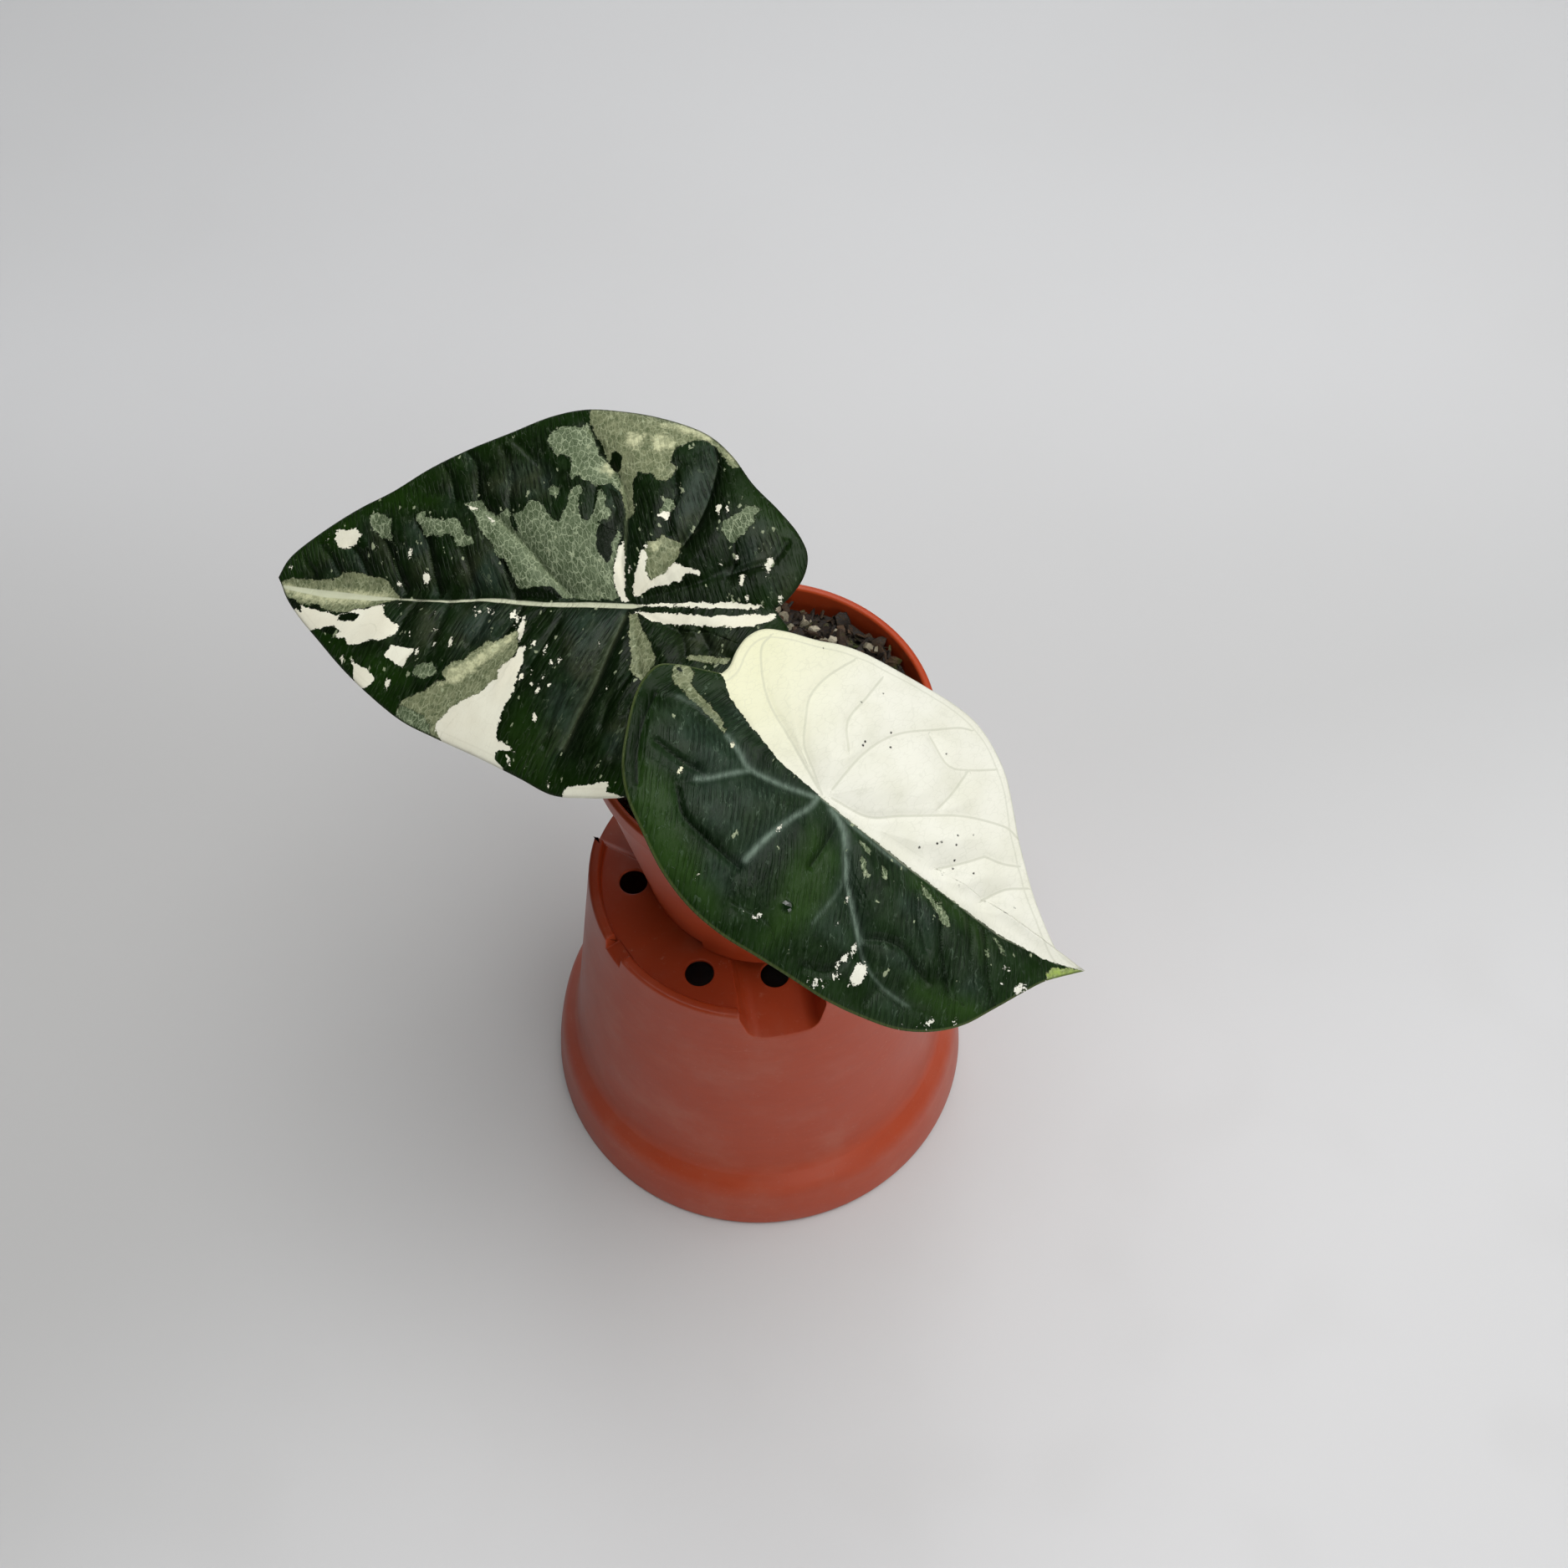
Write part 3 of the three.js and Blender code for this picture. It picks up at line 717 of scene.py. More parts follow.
def grain_shape(index):
    """One lump: a cube cut once into four on each side, partly rounded, with its corners pushed about."""
    bpy.ops.object.select_all(action="DESELECT")
    bpy.ops.mesh.primitive_cube_add(size=1)
    lump = bpy.context.object
    bpy.ops.object.mode_set(mode="EDIT")
    bpy.ops.mesh.subdivide(number_cuts=1)
    bpy.ops.transform.tosphere(value=0.35 + 0.08 * index)
    bpy.ops.object.mode_set(mode="OBJECT")
    points = np.array([vertex.co for vertex in lump.data.vertices])
    points += rng.normal(0, 0.07, points.shape)
    faces = np.array([face.vertices[:] for face in lump.data.polygons])
    bpy.data.objects.remove(lump)
    return points, faces


def random_turns(count):
    """Random rotations, as one matrix for each grain."""
    q = rng.normal(size=(count, 4))
    w, x, y, z = (q / np.linalg.norm(q, axis=1)[:, None]).T
    rows = [
        [1 - 2 * (y * y + z * z), 2 * (x * y - z * w), 2 * (x * z + y * w)],
        [2 * (x * y + z * w), 1 - 2 * (x * x + z * z), 2 * (y * z - x * w)],
        [2 * (x * z - y * w), 2 * (y * z + x * w), 1 - 2 * (x * x + y * y)],
    ]
    return np.moveaxis(np.array(rows), 2, 0)


def scatter_grains(bed):
    """Copies the grain shapes over the bed as one mesh, with each grain's kind and tone stored on it."""
    shapes = [grain_shape(index) for index in range(GRAIN_SHAPES)]
    reach = pot_wall_at(MIX_TOP) - POT_WALL - 1.6
    radius = reach * np.sqrt(rng.random(GRAIN_COUNT))
    angle = rng.random(GRAIN_COUNT) * 2 * math.pi
    x = radius * np.cos(angle)
    y = radius * np.sin(angle)
    kind = rng.random(GRAIN_COUNT)
    size = 0.5 + 2.2 * rng.random(GRAIN_COUNT) ** 2
    size[kind > PUMICE] = rng.uniform(0.9, 2.4, (kind > PUMICE).sum())
    lengths = rng.uniform(0.7, 1.4, (GRAIN_COUNT, 3))
    lengths[kind < CHIP] *= (1.6, 1.0, 0.35)
    lengths[kind < FIBRE] *= (2.0, 0.35, 0.8)
    turns = random_turns(GRAIN_COUNT)
    lift = rng.uniform(-0.3, 1.2, GRAIN_COUNT)
    verts, faces, kinds, tones = [], [], [], []
    start = 0
    for index in range(GRAIN_COUNT):
        points, quads = shapes[index % GRAIN_SHAPES]
        here = (points * lengths[index] * size[index]) @ turns[index].T
        level = MIX_TOP + mix_height(x[index], y[index]) + lift[index] * 0.6
        here += (x[index], y[index], level)
        verts.append(here)
        faces.append(quads + start)
        kinds.append(np.full(len(points), kind[index]))
        tones.append(np.full(len(points), rng.random()))
        start += len(points)
    grains = new_piece("grains", np.concatenate(verts), np.concatenate(faces).tolist())
    store(grains, "kind", np.concatenate(kinds))
    store(grains, "tone", np.concatenate(tones))
    whole = joined([bed, grains])
    whole.name = "bark_mix"
    bpy.ops.object.shade_smooth_by_angle(angle=math.radians(50))
    settle(whole, POT_AXIS)
    return whole


potting_mix = scatter_grains(bed)
print("potting mix:", len(potting_mix.data.polygons), "faces")

# %% [markdown]
# Each grain stores what it is: long fibres, flat bark chips, crumbs, and above PUMICE pale pumice. The
# tone makes no two alike. Damp bark is nearly black, dry pumice is a dull cream, and a thin green film of
# algae lies on some of both.

# %% Finish of the mix
def mix_material():
    material, net, shader = new_material("bark and pumice")
    point = net.node("ShaderNodeTexCoord", output="Object")
    kind = net.value("kind")
    tone = net.value("tone")
    grit = net.noise(point, 1500, 4, 0.65)
    dry = net.between(tone, 0.55, 1.0)
    bark = net.mix(dry, paint(22, 14, 8), paint(74, 54, 36))
    bark = net.mix(net.between(grit, 0.45, 0.75, 0, 0.5), bark, paint(88, 68, 46))
    pumice = net.mix(tone, paint(120, 112, 92), paint(186, 178, 156))
    pumice = net.mix(net.between(grit, 0.5, 0.7, 0, 0.7), pumice, paint(92, 84, 66))
    algae = net.between(net.noise(point, 190, 3), 0.54, 0.7, 0, 0.65)
    colour = net.mix(net.math("GREATER_THAN", kind, PUMICE), bark, pumice)
    colour = net.mix(algae, colour, net.mix(tone, paint(40, 52, 18), paint(84, 96, 40)))
    net.fill(shader, {
        "Base Color": colour, "Normal": net.bump(0.7, 0.0004, grit),
        "Roughness": net.between(grit, 0.3, 0.7, 0.55, 0.95)})
    return material


potting_mix.data.materials.clear()
potting_mix.data.materials.append(mix_material())
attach(potting_mix, BODY)
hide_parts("potting_mix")

# %% [markdown]
# ## Curves through points
# Veins, stalks and leaf outlines are all smooth curves through a few given points. One function draws such a
# curve as short steps. Another measures how far any place on the leaf is from a line, and on which side,
# which later drives both the relief and the colours.

# %% Helpers for curves and distances
def curve_through(points, step):
    """A smooth curve through the points, as an array of places about one step apart."""
    p = np.asarray(points, float)
    p = np.vstack([2 * p[0] - p[1], p, 2 * p[-1] - p[-2]])
    places = []
    for p0, p1, p2, p3 in zip(p, p[1:], p[2:], p[3:]):
        d0, d1, d2 = (np.linalg.norm(b - a) ** 0.5 for a, b in ((p0, p1), (p1, p2), (p2, p3)))
        m1 = ((p1 - p0) / d0 - (p2 - p0) / (d0 + d1) + (p2 - p1) / d1) * d1
        m2 = ((p2 - p1) / d1 - (p3 - p1) / (d1 + d2) + (p3 - p2) / d2) * d1
        count = max(1, math.ceil(np.linalg.norm(p2 - p1) / step))
        for u in np.arange(count) / count:
            places.append((2 * u ** 3 - 3 * u ** 2 + 1) * p1 + (u ** 3 - 2 * u ** 2 + u) * m1
                          + (3 * u ** 2 - 2 * u ** 3) * p2 + (u ** 3 - u ** 2) * m2)
    places.append(p[-2])
    return np.array(places)


def evenly(path, count):
    """The same curve as count equal steps, without its last point."""
    lengths = np.r_[0, np.cumsum(np.linalg.norm(np.diff(path, axis=0), axis=1))]
    wanted = np.arange(count) / count * lengths[-1]
    return np.column_stack([np.interp(wanted, lengths, path[:, axis]) for axis in range(path.shape[1])])


def line_distance(places, path):
    """Distance from each place to a path, and the same with a sign: plus on its left, minus on its right."""
    best = np.full(len(places), 1e9)
    side = np.ones(len(places))
    for a, b in zip(path[:-1], path[1:]):
        along = b - a
        part = np.clip(((places - a) @ along) / max(along @ along, 1e-9), 0, 1)
        gap = places - a - part[:, None] * along
        length = np.hypot(gap[:, 0], gap[:, 1])
        turn = along[0] * (places[:, 1] - a[1]) - along[1] * (places[:, 0] - a[0])
        closer = length < best
        best = np.where(closer, length, best)
        side = np.where(closer, np.where(turn < 0, -1, 1), side)
    return best, best * side


def patch_distance(places, outline):
    """Distance to the outline of a patch, plus inside it and minus outside."""
    closed = np.vstack([outline, outline[:1]])
    best = line_distance(places, closed)[0]
    inside = np.zeros(len(places), bool)
    for a, b in zip(closed[:-1], closed[1:]):
        crosses = (a[1] > places[:, 1]) != (b[1] > places[:, 1])
        rise = b[1] - a[1] if b[1] != a[1] else 1e-9
        inside ^= crosses & (places[:, 0] < a[0] + (places[:, 1] - a[1]) * (b[0] - a[0]) / rise)
    return np.where(inside, best, -best)


def nearest_lines(places, paths):
    """The smallest distance to any of the paths, with and without the side."""
    best = np.full(len(places), 1e9)
    signed = best.copy()
    for path in paths:
        plain, sided = line_distance(places, path)
        signed = np.where(plain < best, sided, signed)
        best = np.minimum(best, plain)
    return best, signed


def patches_distance(places, patches, dots=(), slim=1.0):
    """The largest distance into any of the patches and dots (s, t, radius); slim below 1 makes them long."""
    best = np.full(len(places), -1e3)
    for outline in patches:
        best = np.maximum(best, patch_distance(places, np.asarray(outline, float)))
    for s, t, radius in dots:
        best = np.maximum(best, radius - np.hypot(places[:, 0] - s, (places[:, 1] - t) * slim))
    return best


print("a curve of 3 points has", len(curve_through([(0, 0), (5, 1), (9, 4)], 1)), "places")

# %% [markdown]
# ## The marbled leaf, drawn flat
# A blade is easiest to describe in its own plane. There s runs from the stalk to the tip and t to the left
# of it, in millimetres. The outline and the veins are few points each. A ridge also says how strongly
# painted light falls on its one side and painted shade on its other, and how wide it is; a pale vein says
# how bright and how wide it is. The markings are outlines too: white, mint, olive and lime patches, with
# dark islands in them. The sheen patches mark where a silvery sheen is painted onto the green, and the vivid
# ones where the green is bright. The fine ragged edges are not drawn, because the material adds those.

# %% Outline and veins of the marbled leaf
MARBLED = {
    "node": "leaf_left",
    "hub": (-23.4, 3.9, 208),
    "turn": (-21.7, 9.9, 164.5),       # bank, droop and heading, in degrees
    "arch": {"tip": 84, "lobe": 38, "half": 43, "tip_drop": 7, "lobe_drop": 5,
             "valley": 2.6, "valley_width": 7, "margin_drop": 6.5},
    "quilt": 1.25,
    "quilt_width": 4.2,
    "notch": 22,                       # the outline point behind the stalk that stays a corner
    "outline": [
        (89.1, -2.1), (86.3, 1.9), (81, 7), (73.9, 12.7), (66, 19), (58.6, 24.1), (49.4, 29.4),
        (40.8, 32.4), (30.4, 35.6), (20.2, 39.1), (12.3, 41.9), (4.7, 41.8), (-4.7, 40.6), (-13, 37),
        (-20, 31), (-27, 24), (-32.5, 17.5), (-35.4, 11.5), (-35.2, 6), (-33.6, 2), (-32.2, 0.2),
        (-31, -0.9), (-30, -2), (-31.6, -3.2), (-33.2, -5.1), (-35.3, -9.3), (-35.5, -13.9),
        (-33.1, -18.2), (-27.9, -23.3), (-21.6, -28.5), (-15.6, -35), (-9, -39.8), (2.5, -43.4),
        (12.6, -44.8), (20.7, -44.9), (28.2, -42.8), (37, -38.1), (46, -33.5), (54.1, -28.6),
        (62.2, -22.6), (69.9, -18.3), (79.6, -11.8), (86.6, -6.2),
    ],
    "main_veins": [
        [(0, 0.5), (10, 1), (20, 1.6), (30, 1.3), (36, 1.3), (41, 2), (48, 2.2), (60, 2.3), (75, 1.5),
         (89, -1.5)],
        [(1.5, -1.5), (3.5, -8), (4, -16), (6, -24), (10, -30), (15, -36), (20, -41)],
        [(15, -0.5), (20, -5), (25, -9.5), (30, -13.5), (36, -17.5), (42, -20), (50, -22), (60, -23.5),
         (66, -22)],
        [(-1, -2), (-6, -9), (-10, -16), (-12, -25), (-13, -33)],
        [(-2, -1.5), (-10, -4), (-18, -8), (-25, -14)],
        [(1, 3), (3, 10), (5, 18), (8, 26), (12, 33), (15, 38)],
        [(18, 1), (24, 8), (30, 14), (36, 20), (42, 25), (48, 30)],
        [(38, 1.5), (44, 8), (50, 15), (56, 21)], [(-1, 3), (-3, 10), (-5, 16), (-9, 24), (-14, 31)],
        [(-2, 2), (-10, 5), (-18, 8), (-26, 12)],
    ],
    # Each ridge: how strong the painted light on its left side is, how strong the painted shade on its right
    # side is, their width in mm, and its path.
    "ridges": [
        (0.8, 0.9, 2.2, [(27, 0.5), (29, -4), (32, -8), (35.5, -12.5)]),
        (0.9, 0.6, 1.6, [(14, -1), (20, -5), (25, -9.5), (30, -13.5), (34, -16.5), (38, -19)]),
        (0.9, 0.9, 1.4, [(4.5, -14), (6, -22), (10, -29), (15, -36), (19, -40)]),
        (0.4, 0.5, 1.5, [(37, 0.5), (38.5, -5), (41, -9)]),
        (0.9, 1.0, 2.2, [(46, 0), (47.5, -5), (49.5, -10), (53, -14)]),
        (0.8, 0.8, 2.5, [(54.5, 0), (57, -5), (60, -9.5), (64, -13.5)]),
        (0.7, 0.7, 2.0, [(64, -2.5), (66.5, -6.5), (69.5, -9)]),
        (0.7, 0.6, 2.2, [(71.5, -2.5), (74, -6), (77.5, -9)]),
        (0.4, 0.4, 1.5, [(79, -3), (82, -6)]),
        (0.5, 0.5, 1.5, [(31.5, -19), (32.5, -25), (34.5, -30), (37.5, -34)]),
        (0.7, 0.9, 2.0, [(40, -20.5), (40.7, -25), (42.5, -29.5), (46, -33)]),
        (0.5, 0.7, 1.8, [(46, -21.5), (48, -26), (51.5, -30)]),
        (0.4, 0.4, 1.5, [(24, -25), (26, -29), (31, -33), (35, -36)]),
        (0.8, 0.8, 1.8, [(5.5, -9), (5, -15), (6, -20), (7, -25)]),
        (0.3, 0.6, 1.0, [(11.5, -17), (12, -21), (12.5, -25)]),
        (1.0, 1.0, 3.0, [(-9.5, -13.5), (-12, -19), (-13.2, -26), (-13, -33), (-11.5, -37)]),
        (0.4, 0.7, 1.2, [(-6, -16), (-5, -20), (-6, -25), (-4.5, -30)]),
        (0.6, 0.7, 2.0, [(-20.5, -8), (-24, -9.5), (-29, -12), (-31, -16)]),
        (0.0, 0.9, 1.6, [(-20.5, -8), (-20.5, -13), (-19, -18)]),
        (1.0, 1.0, 3.6, [(10.5, 32), (8, 25), (5.2, 18), (3, 10), (1.3, 3)]),
        (0.3, 0.6, 1.2, [(20, 16), (17, 10), (15, 4)]),
        (0.6, 0.7, 1.5, [(28.5, 10), (26, 6), (25, 3)]),
        (0.5, 0.5, 2.0, [(35, 12), (33, 8), (32, 4)]),
        (0.7, 0.6, 3.0, [(44.5, 13), (44, 8), (43, 3)]),
        (0.5, 0.6, 2.5, [(53, 10), (52, 6), (51, 3)]),
        (0.4, 0.6, 1.5, [(-1, 33), (-3.2, 28), (-3.5, 23)]),
        (0.4, 0.7, 1.5, [(2, 27), (1, 22), (-2.5, 16)]),
        (0.5, 0.7, 1.2, [(-14, 11), (-13, 8), (-11, 5)]),
        (0.5, 0.7, 1.2, [(-19, 11), (-18, 8), (-16, 5)]),
        (0.5, 0.5, 1.5, [(15, 32), (13.5, 26), (12, 20)]),
    ],
    "pale_veins": [
        (0.35, 0.7, [(1.3, 3), (3, 10), (5.2, 18), (8, 25), (10.5, 32)]),
        (0.7, 0.4, [(3, -7), (4, -16), (6, -24), (10, -30), (15, -36), (19, -40)]),
        (0.5, 0.35, [(15, -0.5), (20, -5), (25, -9.5), (30, -13.5), (36, -17.5)]),
    ],
}
print("the marbled leaf has", len(MARBLED["outline"]), "outline points and",
      len(MARBLED["main_veins"]) + len(MARBLED["ridges"]), "veins")

# %% White markings of the marbled leaf
MARBLED["white"] = [
    [(-0.2, -1.3), (0.3, -2.6), (0.2, -5.1), (-0.4, -8), (-1, -11.3), (-2.2, -10.5), (-2.2, -7),
     (-3.4, -5), (-5.3, -6.2), (-6.6, -7), (-8.3, -9.4), (-10, -8.4), (-14, -8), (-14, -7.2), (-11.2, -7),
     (-10.2, -5.5), (-7.5, -4.5), (-4.6, -4), (-2.5, -2.6)],
    [(1, -0.5), (2.1, -1.7), (2.5, -5.5), (2.7, -8.8), (3.5, -11.7), (4.2, -13.8), (5.2, -10), (5, -6.3),
     (4.4, -3.4), (3.3, -1.3), (2.1, -0.3)],
    [(21.8, 11.7), (21.4, 14.6), (22, 16.9), (22.3, 19.2), (22.5, 21.5), (23.6, 23.7), (24.8, 26.5),
     (25.7, 29.2), (25.9, 31.9), (22.7, 32.8), (21.1, 34.2), (23.6, 34), (25.9, 34.4), (26.1, 35.8),
     (24.5, 36.9), (23.2, 38.7), (21.4, 39.9), (20, 44), (42, 40), (39.3, 34.6), (39.1, 32.8), (40.7, 31),
     (40.5, 29.2), (38.9, 27.8), (37.7, 26.5), (35.5, 24.6), (30.9, 22.8), (29.1, 20.5), (26.8, 19.2),
     (27, 17.4), (25, 15.1), (23.4, 14.2), (23.2, 11.9)],
    [(48.6, 13.7), (50, 16), (50.7, 17.9), (53, 17.2), (55.5, 15.4), (54.1, 13.1)],
    [(57.3, 20.4), (58, 22), (60.7, 23.1), (62.8, 21.5), (63, 18.5), (64.4, 16.5), (61.6, 18.1),
     (59.4, 19)],
    [(53.2, 8.8), (53.9, 10.8), (56.2, 12.2), (59.8, 12.4), (62.5, 13.5), (65.5, 14), (66.2, 12.2),
     (70.3, 12.2), (68, 10.8), (69.8, 9.5), (75.3, 10.4), (78, 10.4), (81, 8.8), (83, 5.8), (81, 4.6),
     (76, 5.6), (70, 7), (67.1, 6.3), (66.2, 5.4), (63, 5.1), (60.7, 4), (58.5, 4), (57.8, 6.3),
     (55.3, 7.9)],
    [(68.5, -9.6), (69.8, -8.7), (72.5, -8.5), (74.4, -10.8), (74.6, -13.3), (71.6, -12.8), (68.9, -13.3),
     (67.3, -11.7)],
    [(-4.5, 41), (-4, 46), (10, 46), (10, 41.9), (9.5, 40.5), (5.5, 39.4), (3.2, 39.2), (0.9, 38.5),
     (-0.5, 38.5), (0, 40.3)],
    [(-30, 0.7), (-28, 2), (-24.7, 3.3), (-20, 3.7), (-14.7, 3.7), (-10, 4.1), (-6, 3.8), (-3, 2.7),
     (-0.7, 1.8), (-2.7, 1.7), (-6.7, 1.7), (-13.3, 1.5), (-17.3, 1.7), (-20, 1), (-23.3, 0.7), (-26, 0),
     (-29.3, -0.5), (-30, -1.3), (-31, -0.3)],
    [(-28, -2), (-26.3, -1), (-21.3, -0.7), (-16, 0), (-12, 0), (-6, 0.3), (-1, 0.3), (-6, -0.4),
     (-10, -0.8), (-14, -1.3), (-18, -1.3), (-21.3, -2), (-24.7, -2), (-28, -2.3)],
    [(34.4, -15.6), (36.5, -17.3), (38.6, -18.4), (36.6, -16.9)],
    [(39.6, -18.8), (43.6, -20.3), (41.4, -18.9)],
    [(24.1, 9.9), (24.8, 8), (23.6, 4), (23.1, 8), (23, 11)],
    [(-4.8, -18.2), (-3.3, -19.2), (-4.2, -20.4), (-5.8, -20)],
]
MARBLED["white_dots"] = [
    (17, 26.6, 0.5), (18.6, 19.9, 0.35), (17.2, 21, 0.35), (14.6, 19.8, 0.3), (15, 14.8, 0.35),
    (13.2, 14.2, 0.35), (16.8, 11.8, 0.45), (19.2, 17.6, 0.35), (21.4, 18, 0.4), (19.8, 10.6, 0.5),
    (5.3, 9.8, 0.3), (2, 19.3, 0.25), (13.1, 39.8, 0.3), (22.6, 35.9, 0.5), (39.3, 12, 0.55),
    (43.8, 12.6, 0.4), (-21, -12, 0.4), (-17.9, -10, 0.3), (-31.3, -3.6, 0.4), (-24.6, -3, 0.4),
    (49, -2.4, 0.8), (56, -1.5, 0.45), (-28.2, -10.8, 0.9), (-23, -6.9, 0.7), (66.5, 17, 0.5),
    (54, 21.6, 0.7), (-1.7, -11.8, 0.3), (16.2, 18.4, 0.3), (47.8, 14.4, 0.5), (25.3, 6, 0.6),
    (26.6, 4.5, 0.5), (31.2, 4.3, 0.3), (32.7, 3.6, 0.35), (34.3, 4.4, 0.25), (35.1, 5.2, 0.3),
    (36.2, 3.8, 0.25), (44.6, 9.2, 0.3), (45.4, 5.6, 0.25), (50.2, 10.4, 0.3), (54.7, 4.2, 0.3),
    (76.4, -11.5, 0.4), (62.4, -8.2, 0.4), (53.6, -7.6, 0.5), (85.6, -4.3, 0.35), (1.6, -6.8, 0.3),
    (-17.6, -22, 0.45), (-15.8, -22, 0.6),
]
print("white:", len(MARBLED["white"]), "patches and", len(MARBLED["white_dots"]), "dots")

# %% Mint and olive markings
MARBLED["mint"] = [
    [(7.5, -25), (9.6, -26.3), (12.5, -25.5), (13.5, -25.3), (14.6, -26.3), (15.8, -26.3), (17.1, -27.6),
     (18.1, -26.1), (19, -27.2), (19.2, -28.8), (19, -30), (20.4, -32), (22.1, -32.6), (23.8, -32.2),
     (25, -33.8), (26.7, -35.9), (26.7, -38), (24.6, -40.1), (22.5, -40.5), (20, -40.3), (19, -41.6),
     (16.4, -37.4), (14.2, -33.6), (10.4, -30.6), (7.6, -27.6)],
    [(4.5, -0.3), (16.3, -0.3), (17.5, -0.7), (18.8, -1.8), (20, -0.9), (25.8, -0.7), (27.1, -2.2),
     (28.8, -4.7), (30.4, -7.2), (32.5, -8), (34.2, -10.9), (36.3, -12.4), (38.3, -14.7), (38.8, -16.3),
     (40.8, -18.4), (43.3, -20.1), (41.7, -20.7), (39.2, -20.9), (37.1, -18.8), (34.6, -17.6),
     (33.3, -18.4), (32.5, -19.3), (31.3, -18), (30.8, -16.3), (29.6, -14.3), (28.8, -14), (29.2, -15.5),
     (30.4, -17.6), (30, -18.2), (27.9, -18.4), (27.5, -20.1), (27.1, -21.3), (25.4, -20.7),
     (23.3, -20.1), (22.1, -18.4), (20.4, -16.8), (19, -16.3), (18.3, -18.4), (17.7, -21.3),
     (17.7, -23.8), (16.3, -25.3), (15.2, -23.8), (15.2, -21.3), (14.6, -18.4), (13.8, -17), (12.3, -17),
     (11.7, -18.8), (11.7, -22.6), (12.1, -24.7), (10.6, -24.3), (9.6, -23), (9.6, -21.3), (7.5, -19.3),
     (7.9, -17.6), (10, -16.8), (5.4, -14.7), (5.2, -10), (5, -6.3), (4.4, -3.4), (3.3, -1.3)],
    [(20, -22.2), (22.5, -22.2), (23.3, -24), (22.5, -25), (20.8, -24.3)],
    [(37.9, -10.5), (40, -9.7), (42.5, -9.7), (43.8, -12.2), (45.8, -12.4), (46.3, -11.8), (51.3, -12),
     (52.1, -14.3), (53.8, -15.1), (54, -17.2), (52.1, -17.8), (51.7, -16.5), (49.2, -15.9),
     (46.7, -15.5), (45.8, -16.3), (43.3, -16.1), (42.1, -14.7), (40.8, -12.6), (38.8, -11.8)],
    [(57.3, -9.2), (59.4, -10.8), (62.5, -11.5), (65.3, -13.7), (66.6, -16.7), (63.9, -17.1),
     (60.3, -15.8), (60, -13.7), (59.6, -12.1)],
    [(-19.6, -14.5), (-17.3, -16.8), (-17.5, -19.3), (-19.6, -20.7), (-21.7, -23.4), (-24.8, -23),
     (-23.5, -21.3), (-24, -19.7), (-22.5, -17.2), (-20.8, -15.5)],
    [(-3.1, -19.7), (-4.2, -23.4), (-5.8, -23), (-6.3, -21.3), (-5.6, -19.3)],
    [(-29.6, -10), (-26.7, -10), (-27.5, -11.8), (-29, -12)],
    [(42, 36), (42, 33), (42, 30), (44, 28), (50, 26), (51, 28), (50.5, 30), (49, 33)],
    [(41.5, 19), (45, 20.4), (48, 19.5), (47, 17), (43, 16.5)],
    [(5, -10), (7, -11), (6.6, -15), (5, -15.5)],
]
MARBLED["olive"] = [
    [(2.9, -19), (4.2, -18), (5.2, -20), (6.2, -23), (7.6, -25.5), (7.9, -28), (9.8, -30.3),
     (13.4, -33.6), (15.6, -37.2), (18.6, -41.6), (20.4, -48), (2, -48), (-10.8, -44), (-16, -38.5),
     (-19.5, -33.8), (-17.9, -32), (-16.7, -31.8), (-14.6, -33.4), (-12.9, -36.1), (-10.8, -37),
     (-9.2, -38.2), (-6.7, -37.6), (-4.2, -35.9), (-3.3, -34.7), (-3.1, -32.2), (-4.6, -30.9),
     (-4.2, -28.8), (-3.3, -27.2), (-1.2, -27.2), (0.2, -28.8), (2.1, -28.8), (3.5, -29), (4.2, -27.2),
     (4, -24.7), (3.5, -22.6), (2.5, -19.7)],
    [(-4.6, -4.2), (-2.9, -5.9), (-1.7, -7.6), (-1.3, -10.5), (-1.9, -13), (-3.3, -13.4), (-4.8, -14.9),
     (-6.4, -14.2), (-8.6, -13.8), (-9.1, -11.4), (-8.2, -8.8), (-6.7, -6.3)],
    [(24.1, 9.6), (24.8, 8), (26.4, 8.7), (29.5, 11), (30.9, 10.8), (33.6, 13.3), (35.5, 15.1),
     (37.7, 16), (39.3, 16.9), (40.5, 18.7), (39.5, 20.1), (41.8, 20.5), (44.5, 22.8), (46.8, 23.7),
     (49.5, 25.1), (50.7, 26.9), (50.7, 29.6), (50, 34), (42.3, 38), (38, 30), (34, 26), (28, 22),
     (25, 17), (23.2, 12)],
    [(-5.2, 16.9), (-2.5, 15.1), (-2.3, 12.4), (-1.1, 8.3), (-0.5, 6), (0.5, 2.1), (-1.4, 2.1),
     (-3.2, 5.1), (-6.4, 9.2), (-8.2, 13)],
    [(-18, 11.8), (-14, 11.5), (-15, 10.3), (-17.3, 10.3), (-20, 10), (-23.3, 10), (-22.7, 11.3)],
    [(91, -0.8), (84.4, -2), (77.1, -1.6), (72.5, -1.9), (71.4, -3.3), (66.2, -3.3), (63, -2.4),
     (59.4, -2.2), (57.1, 0.4), (54.8, 2.2), (58.9, 3.1), (60.7, 4.4), (66.2, 5.4), (67.1, 6.3),
     (76, 5.4), (83, 3.5), (90, 2)],
    [(58, 10.8), (59.8, 12.2), (63.9, 13.5), (63.9, 11.7), (63, 9.5), (59.4, 8.5)],
]
print("mint and olive:", len(MARBLED["mint"]), "and", len(MARBLED["olive"]), "patches")

